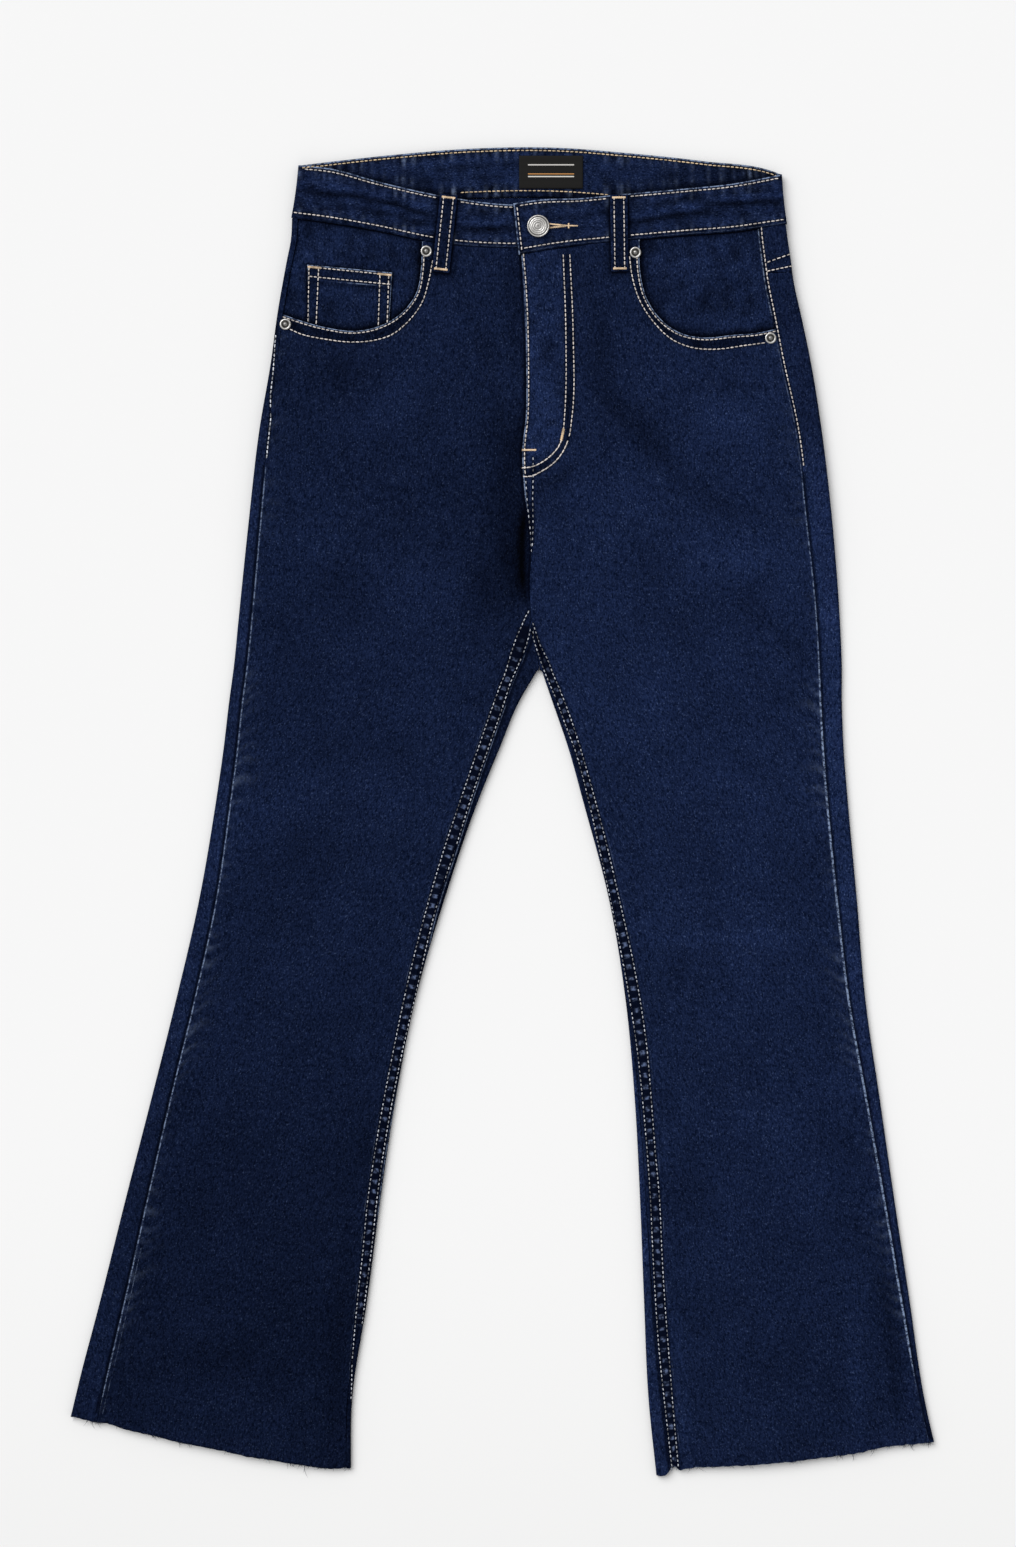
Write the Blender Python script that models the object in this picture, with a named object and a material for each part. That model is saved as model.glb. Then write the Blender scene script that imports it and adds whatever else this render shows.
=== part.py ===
"""Cropped bootcut jeans in dark stretch denim, laid flat with the front up.

Right and left are the wearer's, so the right leg lies on the -X side. X runs across, Y runs up to
the waist and Z points up from the surface the jeans lie on. Each cloth piece is worked out as the
surface in the middle of its wall, in millimetres, from the outline tables below, and a Solidify
modifier gives it the wall. The back panels lie underneath, turn round the side and inner-leg folds,
and come up on the front as far as the outseam and the inseam, where the front panels begin.
"""

import math

import bpy
import numpy as np

MM = 0.001

# ---------------------------------------------------------------- driving sizes, millimetres
CLOTH = 1.2  # wall of one layer of denim
GAP = 0.3  # space between two pieces at a seam, and between two layers
LAYER = CLOTH + GAP  # a piece that lies on another is moved out by this much
BAND_WALL = 2.2  # the waistband is two layers and an interlining

LEG_BOTTOM = CLOTH / 2  # heights of the wall's middle, below and on top
SEAT_BOTTOM = LEG_BOTTOM + LAYER  # raised, because the back pockets lie under it
LEG_TOP = 3.3
HIP_TOP = 6.8  # pocket facings, coin pocket and zip lie between the layers here
SEAT_RAMP = (180.0, 236.0)  # levels between which the underside rises to the seat
HIP_RAMP = (120.0, 245.0)  # and the front to its height over the hips
LEG_SAG = 0.5  # the middle of a leg's front lies lower than its seams

CENTRE = 28.4  # centre back seam
CROTCH = (22.0, 145.5)  # where the four panels meet, on the front
CROTCH_TIP = 0.06  # share of the crotch seam that the back panels stop short of the crotch by
GAP_CENTRE = (28.4, 104.9)  # centre of the small round at the top of the space between the legs
GAP_ROUND = 2.5
CROTCH_TURN = {"right": 149.0, "left": 19.0}  # where the round ends and the inner leg begins, degrees
CROTCH_LEAD_LENGTH = 60.0  # along the inner fold, until the inseam runs level with it
SIDE_LEAD = 12.0  # the top row of a leg is this much higher at the side
SIDE_LEAD_LENGTH = 40.0
FOLD_ROWS_NEAR = (100.0, 90.0, 76.0, 58.0, 36.0, 8.0)  # levels of a leg's rows close to the crotch
FOLD_ROWS_FAR = (-30.0, 13)  # level of the first even row, and how many go on to the hem
HIP_ROWS = 8
HIP_ROW_CLEAR = 12.0  # a front panel's even rows stop this far below the pocket opening
SHOULDER_ROWS = (0.0, 0.3, 0.65)  # shares of the way from its upper edge to the first even row
UNDERSIDE_SHARES = (0.25, 0.5, 0.75, 1.0)  # columns from the side fold's foot to the inner end

YOKE_SIDE = 410.0  # level of the yoke seam at the side and at the centre back
YOKE_CENTRE = 396.0

FLY_LAP = 8.0  # the right front goes this far under the left one
FLY_LAP_RAMP = (190.0, 235.0)
FLY_LIFT = LAYER  # the left front is lifted over the right one along the fly
FLY_LIFT_RAMP = (158.0, 184.0)
FLY_LIFT_WIDTH = (16.0, 40.0)  # from the fly's edge: fully lifted as far as this, and not at all past this
TAB_LIFT = BAND_WALL + GAP  # the waistband's left end is lifted over the right one
TAB_RAMP = (48.0, 76.0)
TAB_END = 12.5
UNDERLAP_END = 40.0

FACING_REACH = 15.4  # how far a pocket facing goes on past the opening's end at the waistband
ROLL_STEPS = 4  # faces round half a turn of cloth
BAND_ROWS = 3  # points across the waistband

# ---------------------------------------------------------------- outline tables, millimetres
# level is Y. outer and inner are the edges of the leg as it lies, outseam and inseam its two seams.
LEG_COLUMNS = ("level", "outer", "outseam", "inseam", "inner")
LEG_SECTIONS = {
    "right": (
        (454.0, -159.5, -155.0, None, None),
        (434.5, -160.5, -156.0, None, None),
        (419.0, -163.5, -159.0, None, None),
        (376.5, -171.0, -166.5, None, None),
        (343.0, -175.5, -170.5, None, None),
        (290.0, -184.5, -177.5, None, None),
        (221.5, -192.5, -184.0, None, None),
        (145.5, -200.5, -191.0, 22.0, None),
        (110.5, -204.0, -194.5, 13.0, 29.0),
        (84.5, -207.5, -198.0, 3.0, 13.5),
        (46.5, -212.0, -202.0, -10.5, -2.5),
        (8.5, -217.5, -207.0, -23.0, -18.0),
        (-67.5, -230.5, -218.0, -48.5, -44.0),
        (-143.5, -248.0, -234.5, -69.5, -66.0),
        (-219.5, -267.0, -253.0, -84.5, -81.0),
        (-295.5, -286.5, -270.5, -96.0, -92.5),
        (-371.5, -305.5, -287.5, -106.0, -102.5),
        (-447.5, -325.5, -305.5, -117.5, -114.0),
        (-506.0, -340.0, -320.0, -118.5, -115.0),
    ),
    "left": (
        (454.0, 214.5, 195.0, None, None),
        (434.5, 217.0, 196.5, None, None),
        (419.0, 219.5, 198.5, None, None),
        (404.0, 221.5, 200.5, None, None),
        (376.5, 227.5, 206.0, None, None),
        (343.0, 234.5, 212.5, None, None),
        (290.0, 243.0, 224.0, None, None),
        (221.5, 251.0, 232.0, None, None),
        (145.5, 257.0, 240.0, 22.0, None),
        (110.5, 258.5, 242.0, 32.5, 29.0),
        (84.5, 258.5, 243.0, 41.5, 38.0),
        (46.5, 260.0, 245.0, 54.5, 51.0),
        (8.5, 263.0, 248.0, 65.5, 61.5),
        (-67.5, 270.0, 255.5, 85.0, 81.5),
        (-143.5, 276.5, 264.5, 97.5, 94.0),
        (-219.5, 287.5, 278.0, 104.5, 101.0),
        (-295.5, 298.5, 291.5, 109.5, 105.0),
        (-371.5, 310.0, 304.5, 115.0, 108.0),
        (-447.5, 321.5, 318.0, 122.5, 111.5),
        (-506.0, 335.5, 332.0, 128.5, 117.5),
    ),
}
# hem: level at the outer and inner edge, and how far its middle hangs below the straight line
HEM = {
    "right": {"outer": -458.0, "inner": -498.0, "bow": 5.5},
    "left": {"outer": -479.0, "inner": -505.0, "bow": 1.2},
}
# the waistband's edges: x on the lower edge, level of the top edge, level of the lower edge
BAND_RIGHT = (
    (-158.0, 491.0, 451.0),
    (-133.0, 488.5, 447.5),
    (-96.5, 479.0, 441.5),
    (-47.0, 468.0, 431.5),
    (8.5, 461.0, 428.0),
    (40.5, 462.0, 429.0),
)
BAND_LEFT = (
    (12.5, 461.5, 422.5),
    (31.5, 464.5, 426.0),
    (57.5, 465.5, 430.0),
    (82.0, 468.0, 432.5),
    (138.0, 473.0, 437.5),
    (177.0, 477.0, 440.5),
    (214.5, 484.0, 446.0),
)
BAND_BACK = (
    (-158.0, 491.0, 451.0),
    (-133.0, 494.0, 456.0),
    (-82.0, 499.5, 461.5),
    (-24.0, 504.0, 466.0),
    (45.0, 504.5, 466.5),
    (91.0, 501.0, 463.0),
    (153.5, 494.5, 456.5),
    (208.0, 486.5, 448.0),
    (214.5, 484.0, 446.0),
)
BAND_SLANT = {"right": -3.0, "left": 1.5}  # how far the lower edge's x is from the top edge's
TAB_SLANT = 4.0
SLANT_RAMPS = {"tab": (TAB_END, 60.0), "left": (60.0, 214.5), "right": (-158.0, -60.0)}
# the edge that the left front is folded back to, from the waistband to the crotch: level, x
FLY_EDGE = (
    (430.0, 14.0),
    (400.0, 16.5),
    (331.5, 18.5),
    (299.0, 18.0),
    (275.5, 15.5),
    (243.0, 17.0),
    (200.5, 22.5),
    (172.0, 21.0),
    (145.5, 22.0),
)
# each pocket opening, from the outseam to the waistband: x, level
POCKET_EDGE = {
    "right": (
        (-166.3, 377.5),
        (-155.0, 373.5),
        (-133.0, 367.5),
        (-111.0, 365.0),
        (-91.0, 369.5),
        (-76.5, 378.5),
        (-65.0, 394.0),
        (-61.5, 412.0),
        (-61.0, 433.0),
    ),
    "left": (
        (208.0, 366.5),
        (194.0, 363.5),
        (176.0, 362.0),
        (152.0, 360.0),
        (136.5, 363.0),
        (121.0, 373.5),
        (110.0, 389.5),
        (104.8, 411.0),
        (104.5, 434.5),
    ),
}
WAIST_COLUMNS = 4  # panel columns between the pocket opening and the fly
# lower edge of each pocket facing, under the front panel: share of the way across, level
FACING_EDGE = {
    "right": ((0.0, 356.0), (0.2, 350.0), (0.45, 343.0), (0.7, 350.0), (0.88, 372.0), (1.0, 398.0)),
    "left": ((0.0, 345.0), (0.2, 341.0), (0.45, 339.0), (0.7, 345.0), (0.88, 368.0), (1.0, 396.0)),
}
COIN_DEPTH_RAMP = (4.0, 20.0)  # from its seams, the stretch in which the right facing sinks to make room
# each pair is at the outer and at the inner side
COIN_POCKET = {"top": (415.5, 409.5), "x_top": (-148.0, -83.5), "x_low": (-145.5, -87.0), "low": 352.0}
BACK_POCKET = {"top": 388.0, "side": 262.0, "point": 244.0, "half_top": 74.0, "half_low": 64.0}
BACK_POCKET_CENTRE = {"right": -66.0, "left": 123.0}
# soft folds of the front: panel, start x and level, end x and level, half width, height
FOLDS = (
    ("right", -8.0, 205.0, -110.0, 255.0, 16.0, 0.9),
    ("right", -20.0, 150.0, -150.0, 168.0, 20.0, -0.7),
    ("right", -120.0, -60.0, -205.0, -92.0, 22.0, 0.8),
    ("right", -135.0, -250.0, -235.0, -300.0, 26.0, -0.7),
    ("left", 45.0, 200.0, 150.0, 262.0, 17.0, 0.9),
    ("left", 55.0, 150.0, 200.0, 190.0, 20.0, -0.7),
    ("left", 110.0, -40.0, 225.0, -75.0, 24.0, 0.8),
    ("left", 140.0, -260.0, 255.0, -330.0, 28.0, -0.7),
)
BAND_CREASE = {"depth": 0.6, "length": 84.0}  # the long trough in the waistband's front

LOOP_WIDTH = 13.0
LOOP_ARCH = 0.8  # the middle of a front loop stands this much higher than its ends
# belt loops: name, middle of the top end, middle of the low end, whether on the front
BELT_LOOPS = (
    ("belt_loop_front_right", (-40.3, 468.3), (-46.6, 409.5), True),
    ("belt_loop_front_left", (88.7, 468.3), (89.5, 410.0), True),
    ("belt_loop_back_right", (-92.0, 498.0), (-92.0, 439.0), False),
    ("belt_loop_back_centre", (28.4, 504.0), (28.4, 445.0), False),
    ("belt_loop_back_left", (148.0, 494.5), (148.0, 435.5), False),
)
RIVETS = (
    ("rivet_right_waist", -57.5, 425.5),
    ("rivet_right_side", -164.5, 370.0),
    ("rivet_left_waist", 101.3, 424.5),
    ("rivet_left_side", 204.0, 359.5),
)
RIVET_RADIUS = 4.4
BUTTON_AT = (27.5, 444.0)
BUTTON_RADIUS = 8.5
# turned profiles: share of the radius, height
BUTTON_PROFILE = (
    (0.0, 0.0),
    (0.4, 0.0),
    (0.4, 0.8),
    (0.97, 1.0),
    (1.0, 1.9),
    (0.9, 2.7),
    (0.72, 2.4),
    (0.0, 2.3),
)
RIVET_PROFILE = ((0.0, 0.0), (1.0, 0.0), (0.9, 0.8), (0.45, 1.15), (0.3, 1.6), (0.0, 1.7))
# flat pieces between the layers: reach in x and level, height of the wall's middle, wall
LABEL = {"x": (13.0, 61.5), "level": (473.5, 498.5), "height": 4.5, "wall": 1.0}
FLY_SHIELD = {"x": (8.0, 54.0), "level": (252.0, 424.0), "height": 3.5, "wall": 1.0}
ZIP = {"x": (26.0, 50.0), "level": (264.0, 421.0), "height": 4.9, "wall": 1.0}

# ---------------------------------------------------------------- colours, linear
DENIM = (0.0075, 0.0135, 0.041)
DENIM_DARK = (0.006, 0.011, 0.034)
TAPE = (0.012, 0.014, 0.022)
WOVEN_BLACK = (0.008, 0.008, 0.009)
PEWTER = (0.32, 0.31, 0.29)


# ---------------------------------------------------------------- curves
def smooth(table, at, column=1):
    """A curve through a table's rows, read at one place or many: each stretch is a cubic whose slopes
    at its ends are those between the neighbouring rows."""
    rows = np.array(sorted((row[0], row[column]) for row in table if row[column] is not None))
    knots, values = rows[:, 0], rows[:, 1]
    slopes = np.gradient(values, knots)
    at = np.clip(np.asarray(at, float), knots[0], knots[-1])
    i = np.clip(np.searchsorted(knots, at, side="right") - 1, 0, len(knots) - 2)
    step = knots[i + 1] - knots[i]
    t = (at - knots[i]) / step
    return (
        (1 + 2 * t) * (1 - t) ** 2 * values[i]
        + t * (1 - t) ** 2 * step * slopes[i]
        + t**2 * (3 - 2 * t) * values[i + 1]
        + t**2 * (t - 1) * step * slopes[i + 1]
    )


def leg_line(side, name, level):
    """X of one of a leg's four lines at a level."""
    return smooth(LEG_SECTIONS[side], level, LEG_COLUMNS.index(name))


def ramp(at, between):
    """0 before the first value, 1 after the second, and a smooth rise between."""
    t = np.clip((np.asarray(at, float) - between[0]) / (between[1] - between[0]), 0, 1)
    return t * t * (3 - 2 * t)


def mix(a, b, share):
    return a + (b - a) * share


def outward(side):
    """The sign of X from the middle of the garment to this leg's outer edge."""
    return -1.0 if side == "right" else 1.0


def line_normals(side, name, levels):
    """Unit vectors square to one of a leg's lines, pointing away from its front panel."""
    nudge = 1.0
    rise = leg_line(side, name, levels + nudge) - leg_line(side, name, levels - nudge)
    slope = rise / (2 * nudge)
    away = outward(side) if name in ("outer", "outseam") else -outward(side)
    normals = away * np.stack([np.ones_like(slope), -slope], axis=1)
    return normals / np.linalg.norm(normals, axis=1, keepdims=True)


def bottom_height(level):
    return mix(LEG_BOTTOM, SEAT_BOTTOM, ramp(level, SEAT_RAMP))


def top_height(level):
    return mix(LEG_TOP, HIP_TOP, ramp(level, HIP_RAMP))


def roll_radius(level):
    return (top_height(level) - bottom_height(level)) / 2


def fold_inset(level):
    """How far inside the edge of the garment the cloth begins to turn round the fold."""
    return roll_radius(level) + CLOTH / 2


# ---------------------------------------------------------------- the rows that panels share
def inner_fold(side):
    """(feet, normals, travel) of the inner-leg fold, from the crotch seam down to the hem. It starts on
    the small round at the top of the space between the legs and then follows the inner edge."""
    turn = np.radians(np.linspace(90.0, CROTCH_TURN[side], 4))
    reach = GAP_ROUND + fold_inset(GAP_CENTRE[1])
    spokes = np.stack([np.cos(turn), np.sin(turn)], axis=1)
    round_feet = np.array(GAP_CENTRE) + reach * spokes
    first, count = FOLD_ROWS_FAR
    levels = np.append(FOLD_ROWS_NEAR, np.linspace(first, HEM[side]["inner"], count))
    normals = line_normals(side, "inner", levels)
    edge = np.stack([leg_line(side, "inner", levels), levels], axis=1)
    edge_feet = edge - normals * fold_inset(levels)[:, None]
    feet = np.concatenate([round_feet, edge_feet])
    steps = np.linalg.norm(np.diff(feet, axis=0), axis=1)
    return feet, np.concatenate([-spokes, normals]), np.append(0.0, np.cumsum(steps))


def leg_rows(side):
    """Levels of a leg's rows at the outer edge and on the inseam, and their shares of the way down."""
    feet, _, travel = inner_fold(side)
    lead = CROTCH[1] - feet[0, 1]
    inseam = feet[:, 1] + lead * np.clip(1 - travel / CROTCH_LEAD_LENGTH, 0, 1)
    share = (feet[0, 1] - feet[:, 1]) / (feet[0, 1] - HEM[side]["inner"])
    outer = mix(feet[0, 1], HEM[side]["outer"], share)
    outer += SIDE_LEAD * np.clip(1 - travel / SIDE_LEAD_LENGTH, 0, 1)
    inseam[-1] = HEM[side]["inner"]
    return outer, inseam, np.clip(share, 0, 1)


def hip_levels(side):
    """Levels of the rows above the crotch at the side, up to the yoke seam."""
    first = leg_rows(side)[0][0]
    return np.linspace(first, YOKE_SIDE - GAP / 2, HIP_ROWS + 1)[1:]


def seam_points(side, name, levels, shift):
    """Points on the outseam or the inseam, moved square to it: a positive shift leaves the front panel."""
    on_seam = np.stack([leg_line(side, name, levels), levels], axis=1)
    return on_seam + shift * line_normals(side, name, levels)


# ---------------------------------------------------------------- meshes
def grid_faces(index):
    """Four-sided faces between neighbouring entries of a two-dimensional array of vertex numbers."""
    a, b = index[:-1, :-1].ravel(), index[:-1, 1:].ravel()
    c, d = index[1:, 1:].ravel(), index[1:, :-1].ravel()
    return np.stack([a, b, c, d], axis=1)


def material(name, colour, roughness, metallic=0.0):
    found = bpy.data.materials.get(name)
    if found:
        return found
    made = bpy.data.materials.new(name)
    made.use_nodes = True
    shader = made.node_tree.nodes["Principled BSDF"]
    shader.inputs["Base Color"].default_value = (*colour, 1.0)
    shader.inputs["Roughness"].default_value = roughness
    shader.inputs["Metallic"].default_value = metallic
    made.diffuse_color = (*colour, 1.0)
    return made


def denim():
    return material("denim", DENIM, 0.85)


def denim_dark():
    return material("denim_dark", DENIM_DARK, 0.85)


def pewter():
    return material("pewter", PEWTER, 0.35, 1.0)


def add_object(name, points, faces, finish):
    mesh = bpy.data.meshes.new(name)
    corners = [[int(vertex) for vertex in face] for face in faces]
    mesh.from_pydata((np.asarray(points, float) * MM).tolist(), [], corners)
    mesh.materials.append(finish)
    made = bpy.data.objects.new(name, mesh)
    bpy.context.scene.collection.objects.link(made)
    mesh.shade_smooth()
    mesh.set_sharp_from_angle(angle=math.radians(50))
    return made


def cloth(name, points, faces, wall=CLOTH, finish=None):
    """A piece of cloth: the middle surface, given its wall by a Solidify modifier."""
    made = add_object(name, points, faces, finish or denim())
    thick = made.modifiers.new("wall", "SOLIDIFY")
    thick.thickness = wall * MM
    thick.offset = 0.0
    thick.use_even_offset = True
    thick.use_quality_normals = True
    return made


def cloth_grid(name, points, wall=CLOTH, finish=None):
    rows, columns = points.shape[:2]
    index = np.arange(rows * columns).reshape(rows, columns)
    return cloth(name, points.reshape(-1, 3), grid_faces(index), wall, finish)


def turned(name, profile, radius, centre, steps, finish):
    """A round piece: a profile of (share of the radius, height), from the axis below to the axis on top,
    turned about +Z."""
    profile = np.array(profile) * (radius, 1.0)
    angles = np.arange(steps) * 2 * math.pi / steps
    rings = profile[1:-1]
    x = centre[0] + rings[:, :1] * np.cos(angles)
    y = centre[1] + rings[:, :1] * np.sin(angles)
    z = centre[2] + np.repeat(rings[:, 1:], steps, axis=1)
    points = np.stack([x, y, z], axis=2).reshape(-1, 3)
    poles = [(centre[0], centre[1], centre[2] + end[1]) for end in (profile[0], profile[-1])]
    index = np.arange(len(rings) * steps).reshape(len(rings), steps)
    wrapped = np.concatenate([index, index[:, :1]], axis=1)
    faces = grid_faces(wrapped).tolist()
    low, high = len(points), len(points) + 1
    for k in range(steps):
        faces.append([low, wrapped[0, k + 1], wrapped[0, k]])
        faces.append([high, wrapped[-1, k], wrapped[-1, k + 1]])
    return add_object(name, np.concatenate([points, poles]), faces, finish)


# ---------------------------------------------------------------- cloth heights
def fold_height(side, x, level):
    """The height that a panel's soft folds add: each is a ridge or trough along a line, with round sides
    and tapering ends."""
    total = np.zeros(np.broadcast(x, level).shape)
    for panel, x0, y0, x1, y1, half_width, height in FOLDS:
        if panel != side:
            continue
        run = np.array([x1 - x0, y1 - y0])
        length = np.linalg.norm(run)
        along = ((x - x0) * run[0] + (level - y0) * run[1]) / length**2
        across = ((x - x0) * run[1] - (level - y0) * run[0]) / length
        ends = ramp(along, (-0.15, 0.35)) * ramp(1 - along, (-0.15, 0.35))
        total += height * ends * np.exp(-((across / half_width) ** 2))
    return total


def fly_x(level):
    return smooth(FLY_EDGE, level)


def front_height(side, x, level, across):
    """Height of a front panel: the top level, lower in the middle of a leg, with folds, and lifted over
    the fly."""
    middle = np.sin(math.pi * np.clip(across, 0, 1)) ** 2
    height = top_height(level) - LEG_SAG * middle * (1 - ramp(level, HIP_RAMP))
    height = height + fold_height(side, x, level) * middle
    if side == "left":
        near = 1 - ramp(x - fly_x(level), FLY_LIFT_WIDTH)
        height = height + FLY_LIFT * near * ramp(level, FLY_LIFT_RAMP)
    return height


# ---------------------------------------------------------------- panels
def side_columns(side, levels):
    """The columns that carry cloth from the outseam, round the side fold, to its foot on the underside."""
    normals = line_normals(side, "outer", levels)
    edge = np.stack([leg_line(side, "outer", levels), levels], axis=1)
    radius = roll_radius(levels)
    feet = edge - normals * (radius + CLOTH / 2)[:, None]
    seam = seam_points(side, "outseam", levels, GAP / 2)
    columns = []
    for share in (0.0, 0.5):
        flat = mix(seam, feet, share)
        columns.append(np.column_stack([flat, top_height(flat[:, 1])]))
    columns += roll_columns(feet, normals, radius, bottom_height(levels), range(ROLL_STEPS, -1, -1))
    return np.stack(columns, axis=1)


def roll_columns(feet, normals, radius, low, steps):
    """Columns round a fold: half a turn from the foot on the underside (step 0) to the one above it."""
    columns = []
    for step in steps:
        angle = math.pi * step / ROLL_STEPS
        flat = feet + normals * (radius * math.sin(angle))[:, None]
        columns.append(np.column_stack([flat, low + radius * (1 - math.cos(angle))]))
    return columns


def underside(side, outer_levels, ends, bow):
    """Rows of the underside from the side fold's foot to the given inner ends, hanging by bow in the
    middle."""
    wrap = side_columns(side, outer_levels)
    feet = wrap[:, -1, :2]
    columns = []
    for share in UNDERSIDE_SHARES:
        flat = mix(feet, ends, share)
        flat[:, 1] -= bow * 4 * share * (1 - share)
        columns.append(np.column_stack([flat, bottom_height(flat[:, 1])]))
    return np.concatenate([wrap, np.stack(columns, axis=1)], axis=1)


def hem_bow(side, share):
    return HEM[side]["bow"] * share**4


def back_panel(side):
    """A back panel: underside and side fold as one grid, and below the crotch a second grid that turns
    round the inner fold and comes up to the inseam. The two share the foot of the inner fold."""
    feet, normals, _ = inner_fold(side)
    outer, inseam, share = leg_rows(side)
    clear = outward(side) * GAP / 2
    feet = feet + np.array([clear, 0.0]) * (np.arange(len(feet)) == 0)[:, None]
    hip = hip_levels(side)
    rise = (hip - outer[0]) / (hip[-1] - outer[0])
    centre_levels = mix(feet[0, 1], YOKE_CENTRE - GAP / 2, rise)
    ends = np.concatenate(
        [np.stack([np.full_like(hip, CENTRE + clear), centre_levels], axis=1)[::-1], feet]
    )
    bow = np.append(np.zeros(len(hip)), hem_bow(side, share))
    under = underside(side, np.append(hip[::-1], outer), ends, bow)
    radius = roll_radius(feet[:, 1])
    turn = roll_columns(feet, normals, radius, bottom_height(feet[:, 1]), range(1, ROLL_STEPS + 1))
    seam = seam_points(side, "inseam", inseam, GAP / 2)
    seam[0] = mix(np.array(CROTCH), feet[0], CROTCH_TIP) + np.array([clear, 0.0])
    for step in (0.5, 1.0):
        flat = mix(feet, seam, step)
        turn.append(np.column_stack([flat, top_height(flat[:, 1])]))
    turn = np.stack(turn, axis=1)
    under_index = np.arange(under.shape[0] * under.shape[1]).reshape(under.shape[:2])
    turn_index = np.arange(turn.shape[0] * turn.shape[1]).reshape(turn.shape[:2]) + under_index.size
    joined = np.concatenate([under_index[len(hip) :, -1:], turn_index], axis=1)
    points = np.concatenate([under.reshape(-1, 3), turn.reshape(-1, 3)])
    faces = np.concatenate([grid_faces(under_index), grid_faces(joined)])
    return cloth(f"back_panel_{side}", points, faces)


def yoke(side):
    """A back yoke: from the yoke seam up to the waistband, round the side fold to the outseam."""
    clear = outward(side) * GAP / 2
    rows = []
    front = BAND_RIGHT if side == "right" else BAND_LEFT
    side_top = smooth(front, leg_line(side, "outseam", YOKE_SIDE), 2)
    for share in (0.0, 0.5, 1.0):
        wrap = side_columns(side, np.array([mix(YOKE_SIDE + GAP / 2, side_top, share)]))[0]
        foot = wrap[-1, :2].copy()
        rise = (wrap[:, 2] - SEAT_BOTTOM) / (HIP_TOP - SEAT_BOTTOM)
        edge = mix(smooth(BAND_BACK, wrap[:, 0], 2), smooth(front, wrap[:, 0], 2), rise)
        wrap[:, 1] = mix(YOKE_SIDE + GAP / 2, edge - GAP, share)
        x = mix(foot[0], CENTRE + clear, np.array(UNDERSIDE_SHARES))
        low = mix(YOKE_SIDE, YOKE_CENTRE, np.array(UNDERSIDE_SHARES)) + GAP / 2
        high = smooth(BAND_BACK, x, 2) - GAP
        y = mix(low, high, share)
        rows.append(np.concatenate([wrap, np.column_stack([x, y, bottom_height(y)])]))
    return cloth_grid(f"yoke_{side}", np.array(rows))


def front_top_edge(side):
    """The front panel's upper edge: along the pocket opening from the outseam, then along the waistband to
    the fly."""
    band = BAND_RIGHT if side == "right" else BAND_LEFT
    opening = np.array(POCKET_EDGE[side])
    opening[0] = seam_points(side, "outseam", opening[:1, 1], -GAP / 2)[0]
    opening[-1, 1] = smooth(band, opening[-1, 0], 2) - GAP
    end = fly_x(smooth(band, TAB_END, 2)) + (FLY_LAP if side == "right" else 0.0)
    x = np.linspace(opening[-1, 0], end, WAIST_COLUMNS + 1)[1:]
    waist = np.stack([x, smooth(band, x, 2) - GAP], axis=1)
    return np.concatenate([opening, waist])


def fly_end(side, levels):
    """The inner end of a front panel's rows above the crotch."""
    if side == "left":
        return fly_x(levels) + GAP / 2 * (1 - ramp(levels, FLY_LIFT_RAMP))
    return fly_x(levels) + mix(-GAP / 2, FLY_LAP, ramp(levels, FLY_LAP_RAMP))


def front_panel(side):
    """A front panel: rows from the hem up to the pocket opening, whose curve the last rows run into."""
    edge = front_top_edge(side)
    travel = np.append(0.0, np.cumsum(np.linalg.norm(np.diff(edge, axis=0), axis=1)))
    across = travel / travel[-1]
    outer, inseam, share = leg_rows(side)
    hip = hip_levels(side)
    hip = hip[hip < min(edge[:, 1]) - HIP_ROW_CLEAR]
    rise = (hip - outer[0]) / (hip[-1] - outer[0])
    inner = mix(CROTCH[1], hip[-1], rise)
    outer_ends = seam_points(side, "outseam", np.append(hip[::-1], outer), -GAP / 2)
    leg_ends = seam_points(side, "inseam", inseam, -GAP / 2)
    leg_ends[0] = (CROTCH[0] + outward(side) * GAP / 2, CROTCH[1] + GAP / 2)
    hip_ends = np.stack([fly_end(side, inner[::-1]), inner[::-1]], axis=1)
    inner_ends = np.concatenate([hip_ends, leg_ends])
    flat = mix(outer_ends[:, None], inner_ends[:, None], across[None, :, None])
    bow = np.append(np.zeros(len(hip)), hem_bow(side, share))
    flat[:, :, 1] -= bow[:, None] * 4 * across * (1 - across)
    shoulder = [mix(edge, flat[0], step) for step in SHOULDER_ROWS]
    flat = np.concatenate([shoulder, flat])
    height = front_height(side, flat[:, :, 0], flat[:, :, 1], across[None, :])
    return cloth_grid(f"front_panel_{side}", np.dstack([flat, height]))


# ---------------------------------------------------------------- waistband
def band_section(x, table, slant, height, depth):
    """Points of the waistband at x: its lower edge, middle and top edge, with a shallow trough between."""
    low, high = smooth(table, x, 2), smooth(table, x, 1)
    share = np.linspace(0, 1, BAND_ROWS)[:, None]
    along = 0.5 + 0.5 * np.cos(2 * math.pi * x / BAND_CREASE["length"])
    trough = depth * np.sin(share * math.pi) * along
    return np.stack([x - slant * share, mix(low, high, share), height - trough], axis=2)


def band_edges(table, x):
    """The waistband's lower and top level at x."""
    return np.array([smooth(table, x, 2), smooth(table, x, 1)])


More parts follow.
